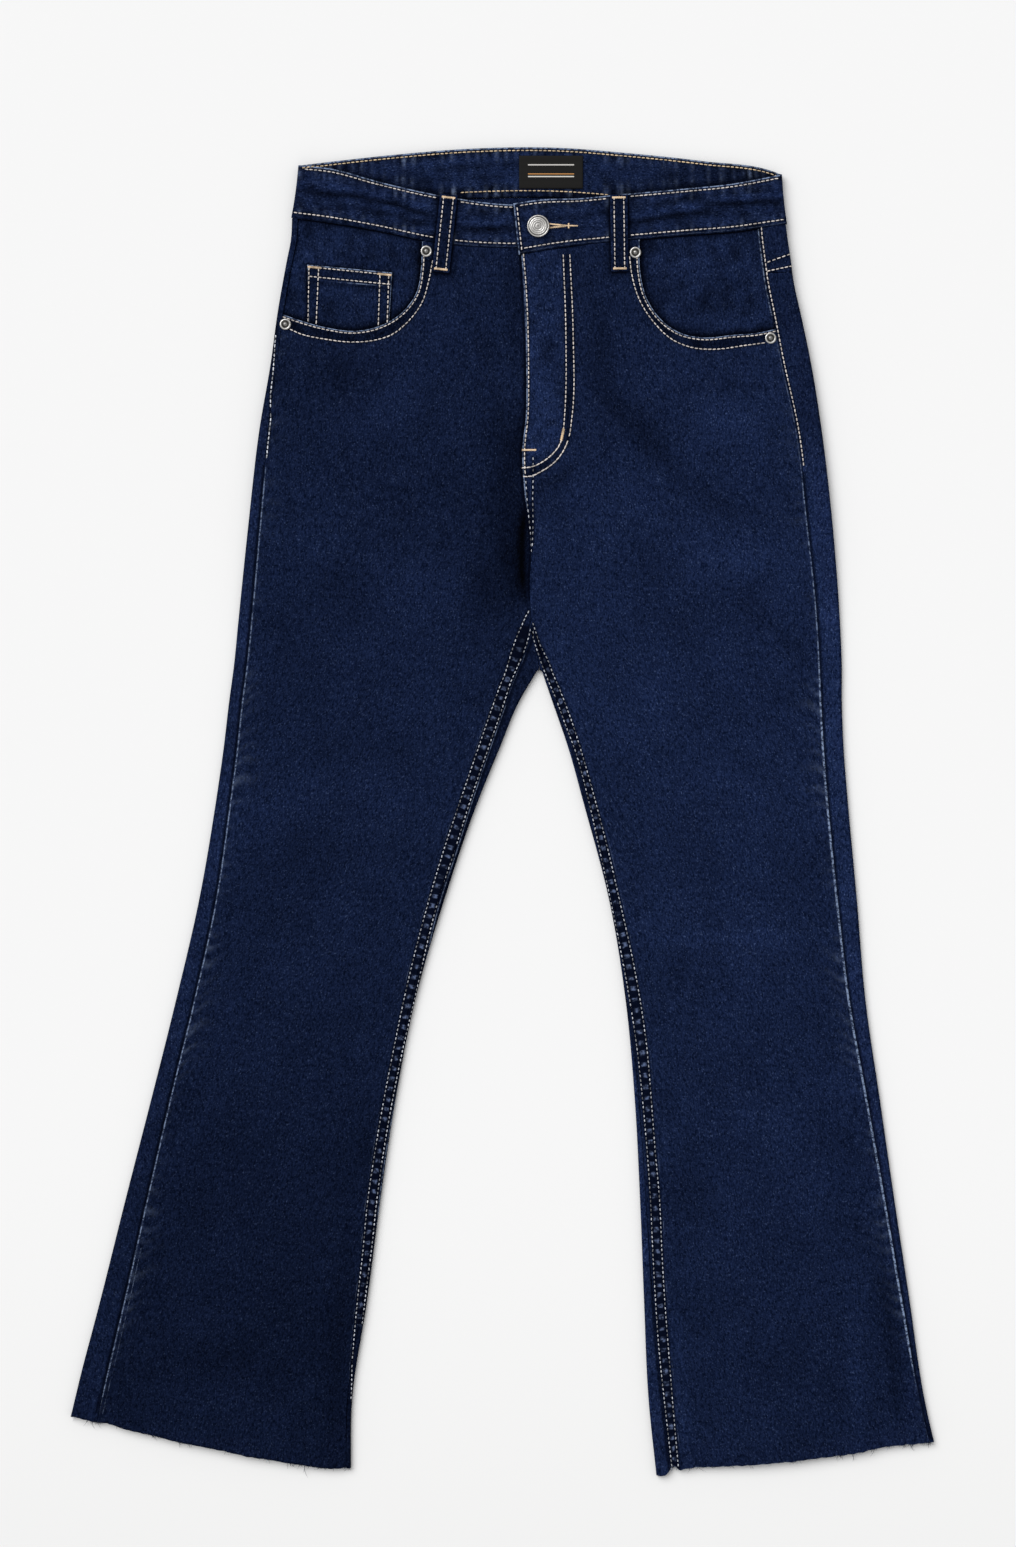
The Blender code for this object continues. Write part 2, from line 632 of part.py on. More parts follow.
def band_roll(foot, sign, radius, low, steps):
    """The waistband round a side fold, between the levels of its back and front at that side."""
    side = "left" if sign > 0 else "right"
    front = BAND_LEFT if sign > 0 else BAND_RIGHT
    share = np.linspace(0, 1, BAND_ROWS)
    columns = []
    for step in steps:
        angle = math.pi * step / ROLL_STEPS
        low_edge, top_edge = mix(band_edges(BAND_BACK, foot), band_edges(front, foot), step / ROLL_STEPS)
        x = foot + sign * radius * math.sin(angle) - BAND_SLANT[side] * share
        z = np.full(BAND_ROWS, low + radius * (1 - math.cos(angle)))
        columns.append(np.stack([x, mix(low_edge, top_edge, share), z], axis=1))
    return np.stack(columns, axis=1)


def waistband():
    """One band, open at the front: from the tab's end, round the left side, along the back, round the
    right side, and on to the end that lies under the tab."""
    bottom = SEAT_BOTTOM + (BAND_WALL - CLOTH) / 2
    top = HIP_TOP - (BAND_WALL - CLOTH) / 2
    radius = (top - bottom) / 2
    inset = radius + BAND_WALL / 2
    foot = {"right": BAND_BACK[0][0] + inset, "left": BAND_BACK[-1][0] - inset}
    tab_x = np.append([TAB_END, 22.0, 34.0, 48.0, 62.0, 76.0], np.linspace(98.0, foot["left"], 6))
    tab_z = top + TAB_LIFT * (1 - ramp(tab_x, TAB_RAMP))
    slant = TAB_SLANT * (1 - ramp(tab_x, SLANT_RAMPS["tab"]))
    slant += BAND_SLANT["left"] * ramp(tab_x, SLANT_RAMPS["left"])
    parts = [band_section(tab_x, BAND_LEFT, slant, tab_z, BAND_CREASE["depth"])]
    parts.append(band_roll(foot["left"], 1.0, radius, bottom, range(ROLL_STEPS - 1, 0, -1)))
    back_x = np.linspace(foot["left"], foot["right"], 16)
    share = (back_x - foot["right"]) / (foot["left"] - foot["right"])
    back_slant = mix(BAND_SLANT["right"], BAND_SLANT["left"], share)
    parts.append(band_section(back_x, BAND_BACK, back_slant, bottom + 0 * back_x, 0.0))
    parts.append(band_roll(foot["right"], -1.0, radius, bottom, range(1, ROLL_STEPS)))
    under_x = np.append(np.linspace(foot["right"], 8.5, 10), [24.0, UNDERLAP_END])
    under_slant = BAND_SLANT["right"] * (1 - ramp(under_x, SLANT_RAMPS["right"]))
    parts.append(band_section(under_x, BAND_RIGHT, under_slant, top + 0 * under_x, BAND_CREASE["depth"]))
    return cloth_grid("waistband", np.concatenate(parts, axis=1), BAND_WALL, denim_dark())


# ---------------------------------------------------------------- what lies on or under the panels
def facing_height(side, x, level):
    """Height of a pocket facing: a layer below the front, and one more under the coin pocket."""
    height = top_height(level) - LAYER
    if side == "left":
        return height
    from_seam = x - leg_line(side, "outseam", level)
    from_band = smooth(BAND_RIGHT, x, 2) - level
    return height - LAYER * ramp(from_seam, COIN_DEPTH_RAMP) * ramp(from_band, COIN_DEPTH_RAMP)


def pocket_facing(side):
    """The denim that shows in a pocket opening, from the outseam and the waistband to under the front
    panel. Its outer end slants with the outseam, so x and y settle together in a few turns."""
    band = BAND_RIGHT if side == "right" else BAND_LEFT
    inner = POCKET_EDGE[side][-1][0] - outward(side) * FACING_REACH
    across = np.linspace(0, 1, 10)
    rows = []
    for share in np.linspace(0, 1, 7):
        low = smooth(FACING_EDGE[side], across)
        x = mix(leg_line(side, "outseam", low), inner, across)
        for _ in range(3):
            high = smooth(band, x, 2) - GAP
            y = mix(low, high, share)
            x = mix(seam_points(side, "outseam", y, -GAP / 2)[:, 0], inner, across)
        rows.append(np.column_stack([x, y, facing_height(side, x, y)]))
    return cloth_grid(f"pocket_facing_{side}", np.array(rows))


def coin_pocket():
    """The small pocket on the right facing, made from the facing's points and moved out."""
    across, rows = np.linspace(0, 1, 7), []
    for share in np.linspace(0, 1, 6):
        y = mix(COIN_POCKET["low"], mix(*COIN_POCKET["top"], across), share)
        x = mix(mix(*COIN_POCKET["x_low"], across), mix(*COIN_POCKET["x_top"], across), share)
        rows.append(np.column_stack([x, y, facing_height("right", x, y) + LAYER]))
    return cloth_grid("coin_pocket", np.array(rows))


def back_pocket(side):
    """A plain patch pocket with a pointed foot, a layer below the back panel."""
    size = BACK_POCKET
    across = np.linspace(-1, 1, 7)
    foot = mix(size["point"], size["side"], np.abs(across))
    rows = []
    for share in np.linspace(0, 1, 5):
        y = mix(foot, size["top"], share)
        x = BACK_POCKET_CENTRE[side] + across * mix(size["half_low"], size["half_top"], share)
        rows.append(np.column_stack([x, y, bottom_height(y) - LAYER]))
    return cloth_grid(f"back_pocket_{side}", np.array(rows))


def belt_loop(name, top, low, on_front):
    """A belt loop: a strip laid from the waistband's top edge to just below it."""
    share = np.linspace(0, 1, 6)
    middle = mix(np.array(low), np.array(top), share[:, None])
    along = (np.array(top) - np.array(low)) / np.linalg.norm(np.array(top) - np.array(low))
    across = np.array([along[1], -along[0]]) * LOOP_WIDTH / 2
    if on_front:
        height = HIP_TOP + LAYER + LOOP_ARCH * np.sin(share * math.pi) ** 2
    else:
        height = np.full_like(share, SEAT_BOTTOM - LAYER)
    edges = [np.column_stack([middle + side * across, height]) for side in (-1, 0, 1)]
    return cloth_grid(name, np.stack(edges, axis=1))


def plate(name, size, finish):
    """A flat piece that lies level between two layers."""
    x, y = np.meshgrid(np.linspace(*size["x"], 3), np.linspace(*size["level"], 5))
    return cloth_grid(name, np.dstack([x, y, np.full_like(x, size["height"])]), size["wall"], finish)


def button():
    """A shank button: a short stem, a turned-over rim and a dished face."""
    base = HIP_TOP - (BAND_WALL - CLOTH) / 2 + TAB_LIFT + BAND_WALL / 2 + GAP
    return turned("button", BUTTON_PROFILE, BUTTON_RADIUS, (*BUTTON_AT, base), 28, pewter())


def rivet(name, x, level):
    """A rivet cap: a low dome with a small nipple."""
    side = "right" if x < CENTRE else "left"
    base = float(front_height(side, x, level, 0.0)) + CLOTH / 2 + GAP
    return turned(name, RIVET_PROFILE, RIVET_RADIUS, (x, level, base), 16, pewter())


def build():
    for leftover in list(bpy.data.objects):
        bpy.data.objects.remove(leftover)
    for side in ("right", "left"):
        back_panel(side)
        yoke(side)
        back_pocket(side)
        pocket_facing(side)
        front_panel(side)
    coin_pocket()
    plate("fly_shield", FLY_SHIELD, denim())
    plate("fly_zip", ZIP, material("zip_tape", TAPE, 0.8))
    waistband()
    plate("waist_label", LABEL, material("woven_black", WOVEN_BLACK, 0.6))
    for name, top, low, on_front in BELT_LOOPS:
        belt_loop(name, top, low, on_front)
    button()
    for name, x, level in RIVETS:
        rivet(name, x, level)


build()
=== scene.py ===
"""Cropped bootcut jeans in dark stretch denim, laid flat with the front up: how they look.

Right and left are the wearer's, so the right leg lies on the -X side. X runs across, Y runs up to
the waist and Z points up from the surface the jeans lie on. Lengths are in millimetres until a mesh
is made. Each piece of cloth is the surface in the middle of its wall, on a fine grid that follows
the CAD part's form, with its folds and puckers; a Solidify modifier gives it the wall. The stitches
are short arched capsules laid on the finished cloth.
"""

import math

import bpy
import numpy as np
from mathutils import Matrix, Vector
from mathutils.bvhtree import BVHTree


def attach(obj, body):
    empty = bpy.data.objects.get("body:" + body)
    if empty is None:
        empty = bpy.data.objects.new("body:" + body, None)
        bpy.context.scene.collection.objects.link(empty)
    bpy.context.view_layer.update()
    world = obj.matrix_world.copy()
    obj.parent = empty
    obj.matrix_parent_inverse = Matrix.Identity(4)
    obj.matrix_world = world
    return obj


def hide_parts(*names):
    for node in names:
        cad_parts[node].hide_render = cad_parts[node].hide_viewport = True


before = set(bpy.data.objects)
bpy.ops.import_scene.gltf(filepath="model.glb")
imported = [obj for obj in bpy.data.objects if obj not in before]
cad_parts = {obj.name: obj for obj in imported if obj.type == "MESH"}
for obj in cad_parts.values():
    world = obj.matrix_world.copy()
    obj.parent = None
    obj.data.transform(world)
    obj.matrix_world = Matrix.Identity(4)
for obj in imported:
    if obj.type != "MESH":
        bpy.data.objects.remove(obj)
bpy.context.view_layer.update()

MM = 0.001

# ------------ driving sizes, millimetres
CLOTH = 1.2  # wall of one layer of denim
GAP = 0.3  # space between two pieces at a seam, and between two layers
LAYER = CLOTH + GAP  # a piece that lies on another is moved out by this much
BAND_WALL = 2.2  # the waistband is two layers and an interlining

LEG_BOTTOM = CLOTH / 2  # heights of the wall's middle, below and on top
SEAT_BOTTOM = LEG_BOTTOM + LAYER  # raised, because the back pockets lie under it
LEG_TOP = 3.3
HIP_TOP = 6.8  # pocket facings, coin pocket and zip lie between the layers here
SEAT_RAMP = (180.0, 236.0)  # levels between which the underside rises to the seat
HIP_RAMP = (120.0, 245.0)  # and the front to its height over the hips
LEG_RISE = 1.6  # the middle of a leg's front lies higher than its seams

CENTRE = 28.4  # centre back seam
CROTCH = (22.0, 145.5)  # where the four panels meet, on the front
CROTCH_TIP = 0.06  # share of the crotch seam that the back panels stop short of the crotch by
GAP_CENTRE = (28.4, 104.9)  # centre of the small round at the top of the space between the legs
GAP_ROUND = 2.5
CROTCH_TURN = {"right": 149.0, "left": 19.0}  # where the round ends and the inner leg begins, degrees
CROTCH_LEAD_LENGTH = 60.0  # along the inner fold, until the inseam runs level with it
SIDE_LEAD = 12.0  # the top row of a leg is this much higher at the side
SIDE_LEAD_LENGTH = 40.0
HIP_ROW_CLEAR = 12.0  # a front panel's even rows stop this far below the pocket opening

YOKE_SIDE = 410.0  # level of the yoke seam at the side and at the centre back
YOKE_CENTRE = 396.0

FLY_LAP = 8.0  # the right front goes this far under the left one
FLY_LAP_RAMP = (190.0, 235.0)
FLY_LIFT = LAYER  # the left front is lifted over the right one along the fly
FLY_LIFT_RAMP = (158.0, 184.0)
FLY_LIFT_WIDTH = (16.0, 40.0)  # from the fly's edge: fully lifted as far as this, and not at all past this
TAB_LIFT = BAND_WALL + GAP  # the waistband's left end is lifted over the right one
TAB_RAMP = (48.0, 76.0)
TAB_END = 12.5
UNDERLAP_END = 40.0

FACING_REACH = 15.4  # how far a pocket facing goes on past the opening's end at the waistband

# ------------ outline tables, millimetres
# level is Y. outer and inner are the edges of the leg as it lies, outseam and inseam its two seams.
# Above the crotch a row ends before inseam, and at the crotch before inner.
LEG_COLUMNS = ("level", "outer", "outseam", "inseam", "inner")
LEG_SECTIONS = {
    "right": (
        (454, -159.5, -155), (434.5, -160.5, -156), (419, -163.5, -159), (376.5, -171, -166.5),
        (343, -175.5, -170.5), (290, -184.5, -177.5), (221.5, -192.5, -184), (145.5, -200.5, -191, 22),
        (110.5, -204, -194.5, 13, 29), (84.5, -207.5, -198, 3, 13.5), (46.5, -212, -202, -10.5, -2.5),
        (8.5, -217.5, -207, -23, -18), (-67.5, -230.5, -218, -48.5, -44),
        (-143.5, -248, -234.5, -69.5, -66), (-219.5, -267, -253, -84.5, -81),
        (-295.5, -286.5, -270.5, -96, -92.5), (-371.5, -305.5, -287.5, -106, -102.5),
        (-447.5, -325.5, -305.5, -117.5, -114), (-506, -340, -320, -118.5, -115),
    ),
    "left": (
        (454, 214.5, 195), (434.5, 217, 196.5), (419, 219.5, 198.5), (404, 221.5, 200.5),
        (376.5, 227.5, 206), (343, 234.5, 212.5), (290, 243, 224), (221.5, 251, 232),
        (145.5, 257, 240, 22), (110.5, 258.5, 242, 32.5, 29), (84.5, 258.5, 243, 41.5, 38),
        (46.5, 260, 245, 54.5, 51), (8.5, 263, 248, 65.5, 61.5), (-67.5, 270, 255.5, 85, 81.5),
        (-143.5, 276.5, 264.5, 97.5, 94), (-219.5, 287.5, 278, 104.5, 101),
        (-295.5, 298.5, 291.5, 109.5, 105), (-371.5, 310, 304.5, 115, 108),
        (-447.5, 321.5, 318, 122.5, 111.5), (-506, 335.5, 332, 128.5, 117.5),
    ),
}
# hem: level at the outer and inner edge, and how far its middle hangs below the straight line
HEM = {
    "right": {"outer": -458.0, "inner": -498.0, "bow": 5.5},
    "left": {"outer": -479.0, "inner": -505.0, "bow": 1.2},
}
# the waistband's edges: x on the lower edge, level of the top edge, level of the lower edge
BAND_RIGHT = (
    (-158, 491, 451), (-133, 488.5, 447.5), (-96.5, 479, 441.5), (-47, 468, 431.5), (8.5, 461, 428),
    (40.5, 462, 429),
)
BAND_LEFT = (
    (12.5, 461.5, 422.5), (31.5, 464.5, 426), (57.5, 465.5, 430), (82, 468, 432.5), (138, 473, 437.5),
    (177, 477, 440.5), (214.5, 484, 446),
)
BAND_BACK = (
    (-158, 491, 451), (-133, 494, 456), (-82, 499.5, 461.5), (-24, 504, 466), (45, 504.5, 466.5),
    (91, 501, 463), (153.5, 494.5, 456.5), (208, 486.5, 448), (214.5, 484, 446),
)
BAND_SLANT = {"right": -3.0, "left": 1.5}  # how far the lower edge's x is from the top edge's
TAB_SLANT = 4.0
SLANT_RAMPS = {"tab": (TAB_END, 60.0), "left": (60.0, 214.5), "right": (-158.0, -60.0)}
# the edge that the left front is folded back to, from the waistband to the crotch: level, x
FLY_EDGE = (
    (430, 14), (400, 16.5), (331.5, 18.5), (299, 18), (275.5, 15.5), (243, 17), (200.5, 22.5),
    (172, 21), (145.5, 22),
)
# each pocket opening, from the outseam to the waistband: x, level
POCKET_EDGE = {
    "right": (
        (-166.3, 377.5), (-155, 373.5), (-133, 367.5), (-111, 365), (-91, 369.5), (-76.5, 378.5),
        (-65, 394), (-61.5, 412), (-61, 433),
    ),
    "left": (
        (208, 366.5), (194, 363.5), (176, 362), (152, 360), (136.5, 363), (121, 373.5), (110, 389.5),
        (104.8, 411), (104.5, 434.5),
    ),
}
# lower edge of each pocket facing, under the front panel: share of the way across, level
FACING_EDGE = {
    "right": ((0, 356), (0.2, 350), (0.45, 343), (0.7, 350), (0.88, 372), (1, 398)),
    "left": ((0, 345), (0.2, 341), (0.45, 339), (0.7, 345), (0.88, 368), (1, 396)),
}
COIN_DEPTH_RAMP = (4.0, 20.0)  # from its seams, the stretch in which the right facing sinks to make room
# each pair is at the outer and at the inner side
COIN_POCKET = {"top": (415.5, 409.5), "x_top": (-148.0, -83.5), "x_low": (-145.5, -87.0), "low": 352.0}
BACK_POCKET = {"top": 388.0, "side": 262.0, "point": 244.0, "half_top": 74.0, "half_low": 64.0}
BACK_POCKET_CENTRE = {"right": -66.0, "left": 123.0}

LOOP_WIDTH = 13.0
LOOP_ARCH = 0.8  # the middle of a front loop stands this much higher than its ends
# belt loops: name, middle of the top end, middle of the low end, whether on the front
BELT_LOOPS = (
    ("belt_loop_front_right", (-40.3, 468.3), (-46.6, 409.5), True),
    ("belt_loop_front_left", (88.7, 468.3), (89.5, 410.0), True),
    ("belt_loop_back_right", (-92.0, 498.0), (-92.0, 439.0), False),
    ("belt_loop_back_centre", (28.4, 504.0), (28.4, 445.0), False),
    ("belt_loop_back_left", (148.0, 494.5), (148.0, 435.5), False),
)
RIVETS = (
    ("rivet_right_waist", -57.5, 425.5), ("rivet_right_side", -164.5, 370),
    ("rivet_left_waist", 101.3, 424.5), ("rivet_left_side", 204, 359.5),
)
RIVET_RADIUS = 4.4
BUTTON_AT = (27.5, 444.0)
BUTTON_RADIUS = 8.5
# flat pieces between the layers: reach in x and level, height of the wall's middle, wall
LABEL = {"x": (13.0, 61.5), "level": (473.5, 498.5), "height": 4.5, "wall": 1.0}
FLY_SHIELD = {"x": (8.0, 54.0), "level": (252.0, 424.0), "height": 3.5, "wall": 1.0}
ZIP = {"x": (26.0, 50.0), "level": (264.0, 421.0), "height": 4.9, "wall": 1.0}

# ------------ the scene's own sizes
LEG_FIRST_ROW = 100.0  # level of a leg's first row below the round at the crotch
LEG_ROW_STEP = 2.3
ROUND_ROWS = 9
HIP_ROW_STEP = 2.5
SHOULDER_COUNT = 26
FRONT_COLUMNS = 80
BUNCH = 0.125  # how strongly a front panel's columns crowd towards its seams
STRIP_COLUMNS = 12  # from the outseam to the side fold
ROLL_STEPS = 10
UNDER_COLUMNS = 30
INNER_COLUMNS = 7  # from the inner fold to the inseam
YOKE_ROWS = 24
YOKE_COVER = 0.85  # the yoke closes its seam, so that no floor shows through it
YOKE_FOLD = 4.4  # the yoke's cloth above this height has turned up to the front
BAND_ROWS = 26
BAND_STEP = 2.2
BAND_BACK_COLUMNS = 150
BAND_FLARE = 2.4  # the waistband's lower edge spreads by this at the sides
BAND_SHELL = BAND_WALL - 0.3  # a little thinner than the CAD's wall, so that the tab lies clear
BAND_DEPTH = 38.0
BAND_PITCH = 7.8  # of the puckers along its rows
BAND_TOP_ROW, BAND_LOW_ROW = 0.935, 0.105  # its rows' shares of the way up
BACK_PART = 2  # the back's place among the waistband's five grids
LOOP_DROOP = 0.35  # a belt loop's edges hang by this
OPENING_DIP = 0.45  # the front panel's edge is pressed down along the pocket opening
HEM_UNEVEN = 0.5
FRAY_RINGS = 5  # along each loose thread
ROWS_TOP = 424.0  # level at which the fly's and the pockets' rows go under the waistband
CENTRE_ROW_SHIFTS = (2.0, 8.6)
CENTRE_ROWS_END = 175.0
FLY_TURN = 284.0  # below this level the fly's rows turn, and their stitches are longer
ROW_GROUPS = ("a", "b", "c", "d")  # of three attribute values each
WORN_GROUPS = ("a", "b")
SHEETS = {}  # each sheet of cloth, once made
BAND_GRIDS = []  # the waistband's five grids, once made

FELL_PITCH = 8.2  # of the puckers across the felled seams
FELL_LENGTH = 640.0  # a felled seam's travel runs from 0 to this
FELL_MOST = 14.0  # where the two rows measure this far apart, a place isn't in the felled seam
OUTSEAM_PITCH = 12.5  # of the puckers that run off the outseams
PUCKER_HEIGHT = 0.4
PUCKERS_TOP = 395.0
CORNER_SHARE = 1e-5  # how far a place's distance to the side decides between stretches as near
FAR = 1000.0  # distance given to the cloth that a line isn't near
STITCH = {
    "pitch": 3.4, "length": 2.7, "width": 0.88, "tilt": 0.05, "sink": 0.12, "turn": False, "below": False,
}
STITCH_ARCH = 0.9  # how far a stitch's ends bend down, in widths
BUTTONHOLE_BARS = (
    ((36.0, 445.9), (48.5, 444.6), 1.3), ((36.0, 443.0), (48.5, 444.2), 1.3),
    ((48.2, 444.6), (57.6, 444.5), 1.1), ((50.6, 446.4), (50.6, 442.6), 1.3),
)
# the two rows of each felled inner-leg seam, from the crotch down, first the one on the -X side
FELL = {
    "right": (
        (
            (20.9, 153.1), (18.2, 148.6), (15.2, 141.7), (10.3, 130.3), (6.1, 117.4), (3, 106.8),
            (-1.5, 95.4), (-5.4, 84.7), (-18.5, 46.7), (-31.5, 8.7), (-44.2, -29.3), (-55.5, -67.3),
            (-74.6, -143.3), (-82.4, -181.3), (-89.8, -219.3), (-96.3, -257.3), (-102, -295.3),
            (-105.6, -333.3), (-109.8, -371.3), (-112.9, -405.5), (-114, -420.7), (-114.4, -439.7),
            (-114.9, -447.3),
        ),
        (
            (22, 139.5), (19, 128.1), (16, 119.7), (11.4, 109.1), (6.1, 96.9), (2.3, 84.7),
            (-10.9, 46.7), (-23.9, 8.7), (-35.8, -29.3), (-48.3, -67.3), (-66.6, -143.3),
            (-75.5, -181.3), (-83.2, -219.3), (-89.8, -257.3), (-95.1, -295.3), (-99.2, -333.3),
            (-102.2, -356.1), (-104.1, -371.3), (-106.4, -390.3),
        ),
    ),
    "left": (
        (
            (23.6, 137.9), (24.3, 129.6), (26.2, 124.3), (29.6, 113.6), (35, 99.9), (41.4, 84.7),
            (48.3, 65.7), (55.5, 46.7), (65.8, 8.7), (74.2, -29.3), (82.5, -67.3), (90.2, -105.3),
            (97.1, -143.3), (102.8, -181.3), (106.9, -219.3), (110.3, -257.3), (112.9, -295.3),
            (114.6, -333.3), (116.7, -371.3), (119.4, -409.3), (123.4, -447.3), (127.7, -485.3),
            (129.6, -502),
        ),
        (
            (23.2, 144), (26.6, 133.4), (29.6, 125), (34.2, 116.7), (38.8, 104.5), (44.1, 92.3),
            (47.1, 84.7), (54, 65.7), (60, 46.7), (70.8, 8.7), (80.6, -29.3), (89.3, -67.3),
            (97.9, -105.3), (105, -143.3), (110.3, -181.3), (113.5, -219.3), (116.4, -257.3),
            (119.8, -295.3), (121.5, -333.3), (123.7, -371.3), (126.6, -409.3), (129.6, -447.3),
            (132.9, -485.3), (134.4, -502),
        ),
    ),
}
# levels between which the outseam's puckers grow below the hip and fade above the hem
OUTSEAM_PUCKERS = {"right": ((60, 140), (-480, -420)), "left": ((110, 190), (-430, -340))}
# how far the outseam's row lies off the seam, on the back panel: level, shift
TOPSTITCH_SHIFT = {
    "right": ((266, -1), (298, -1), (307, 0.4), (316, 1.7), (334, 2.1), (356, 3.4)),
    "left": ((260, 1.3), (450, 1.3)),
}
TOPSTITCH_END = {"right": 268.0, "left": 262.0}

# hem of each leg as it hangs: x, level
HEM_LINE = {
    "right": (
        (-326, -460.4), (-311.6, -464), (-299.4, -465.1), (-287.3, -469.7), (-263, -475),
        (-238.6, -481.1), (-214, -485.6), (-190, -491), (-165.7, -494.8), (-141.4, -498.6),
        (-129, -500.1), (-115, -499),
    ),
    "left": (
        (117, -505), (124.5, -505), (130, -497.5), (136, -500.8), (148, -498.6), (173, -497.8),
        (197, -496.3), (221, -494), (245.5, -491), (270, -487.9), (288, -483.4), (312, -481.1),
        (326, -479.8),
    ),
}
HEM_FADE = 40.0  # the rows above the hem follow its line this far up

# second row beside each pocket opening: x, level
POCKET_SECOND = {
    "right": (
        (-168, 368.5), (-160.5, 366), (-155, 363.5), (-133, 358.5), (-114, 356.5), (-96.5, 358),
        (-85, 361.5), (-70.5, 373), (-60.5, 387), (-56, 401.5), (-52.5, 419),
    ),
    "left": (
        (200, 356), (185, 354), (161, 351), (146, 352), (130, 358), (115, 372), (104, 389.5),
        (98.5, 408.5), (96.8, 422),
    ),
}
FLY_INNER_ROW = (
    (46.5, 423.5), (48.5, 364.5), (47.5, 300), (46.5, 289), (44, 279), (38, 271), (31, 265.5),
    (22, 261.5), (15, 260.8),
)
FLY_OUTER_ROW = (
    (51.5, 423.5), (54, 364.5), (53, 298.5), (50.5, 283), (45.5, 272), (38, 263.5), (29.5, 258),
    (22, 254.5), (16, 254.2),
)
CROTCH_ROWS = (
    ((23.6, 270), (23.6, 250), (23.3, 238), (23.6, 220), (23, 200.5)),
    ((18, 252), (19, 237), (20.5, 222), (21.8, 210), (22.6, 196)),
)
YOKE_ROWS_SHOWING = (((200.9, 416.9), (219.6, 423.6)), ((200.9, 410.2), (221.0, 414.5)))

# soft folds of the fronts: half width, height, and the line as x, level
FOLDS = {
    "right": (
        (5, -0.9, ((-35.7, 411.5), (-20.5, 366), (-1.5, 312.7), (2.3, 275))),
        (4, -0.9, ((5, 419), (9, 366), (9, 330))),
        (13, -2, ((6, 300), (8, 240), (12, 190), (14, 150))),
        (7, -1.2, ((-24.3, 191), (-12, 168), (-1.5, 140))),
        (16, -0.7, ((-150, 340), (-119, 331), (-85, 330))),
        (13, -0.6, ((-150, 254), (-110, 250), (-55, 238))),
        (15, 0.7, ((-140, 290), (-90, 300), (-50, 330))),
        (15, -0.7, ((-150, 46), (-95, 50), (-40, 44))),
        (13, -0.6, ((-160, -38), (-100, -34), (-45, -40))),
        (14, 0.6, ((-170, 6), (-110, 8), (-60, 2))),
        (5, -0.4, ((-135, -96), (-100, -90), (-75, -98))),
        (16, 0.6, ((-240, -190), (-180, -200), (-120, -230))),
        (15, -0.6, ((-290, -362), (-240, -366), (-195, -360))),
        (17, -0.6, ((-300, -424), (-210, -420), (-120, -430))),
        (8, -0.8, ((-121, -330), (-125, -410), (-127, -500))),
    ),
    "left": (
        (10, -1.4, ((74.5, 398), (78, 350), (84, 312), (105, 290), (150, 238), (226, 217))),
        (16, 0.9, ((140, 296), (180, 298), (210, 290))),
        (12, 0.8, ((140, 212), (172, 196), (205, 180))),
        (10, -0.9, ((170, 172), (205, 140), (242, 106))),
        (5, -0.7, ((140, 325), (180, 321), (220, 321))),
        (13, -0.6, ((140, 38), (200, 34), (245, 30))),
        (12, -0.6, ((95, -50), (125, -52), (160, -48))),
        (5, 0.5, ((100, -98), (180, -95), (250, -100))),
        (11, -0.5, ((115, -127), (145, -130), (180, -126))),
        (15, 0.5, ((130, -230), (190, -240), (250, -222))),
        (8, 0.8, ((266, -365), (270, -430), (275, -500))),
        (8, -0.8, ((288, -330), (296, -400), (303, -478))),
        (16, -0.6, ((150, -380), (200, -390), (250, -384))),
    ),
}
# how light each front is down its length, partly the dye's tone, partly painted light and shade: level, tone
TONES_AND_PAINTED_LIGHT = {
    "right": (
        (440, 1), (340, 0.98), (150, 1), (0, 1.06), (-160, 0.9), (-245, 0.76), (-433, 0.68),
        (-505, 0.66),
    ),
    "left": ((440, 1.08), (340, 1.16), (150, 1.3), (0, 1.26), (-245, 1.12), (-433, 0.98), (-505, 0.92)),
}
# soft dark and light places of the fronts, most of them painted shade and painted light: in the crevice
# beside the crotch seam, in the folds and on their ridges. Half width, how much lighter, and the line as x,
# level
PAINTED_LIGHT_AND_SHADE = {
    "right": (
        (5, -0.94, (
            (20, 247), (19, 236.7), (16.5, 221.5), (15, 206.3), (15, 191), (15.5, 176), (18, 160.7),
            (20.5, 151.6),
        )),
        (9, -0.4, ((8, 216), (4, 200), (6, 180), (10, 162), (13, 150))),
        (24, -0.3, ((8, 330), (6, 280), (-2, 230), (-8, 190), (-10, 150), (-14, 110))),
        (5, 0.3, ((11, 275), (12, 255), (13, 240))),
        (16, -0.18, ((-140, 335), (-110, 328), (-85, 334))),
        (20, 0.12, ((-120, 290), (-60, 310))),
        (22, 0.12, ((-110, 200), (-60, 170), (-40, 140))),
        (14, -0.16, ((-118, -330), (-124, -410), (-128, -500))),
    ),
    "left": (
        (2.2, -0.85, ((21, 236), (21.6, 222), (22.2, 208), (22.4, 200))),
        (5, -0.35, ((22, 236), (30, 247), (45, 252), (56, 268))),
        (13, -0.22, ((74.5, 398), (76, 350), (84, 312), (105, 290), (150, 240))),
        (18, 0.14, ((140, 300), (205, 290))),
        (16, 0.12, ((140, 212), (205, 182))),
        (6, 0.3, ((129, -360), (136, -430), (142, -502))),
        (22, -0.14, ((90, 225), (120, 170), (160, 120))),
        (12, -0.15, ((170, 172), (242, 108))),
        (6, 0.14, ((100, -97), (250, -98))),
        (7, 0.2, ((266, -365), (270, -430), (275, -500))),
        (7, -0.25, ((288, -330), (296, -400), (303, -478))),
    ),
}
# creases along the waistband's front: side, x from and to, share of the way up, depth
BAND_CREASES = (
    ("right", -150, -54, 0.56, 1), ("right", -120, -60, 0.34, 0.6), ("right", -34, 8, 0.45, 0.9),
    ("left", 98, 160, 0.42, 0.9), ("left", 120, 170, 0.72, 0.5), ("left", 150, 206, 0.58, 1),
)


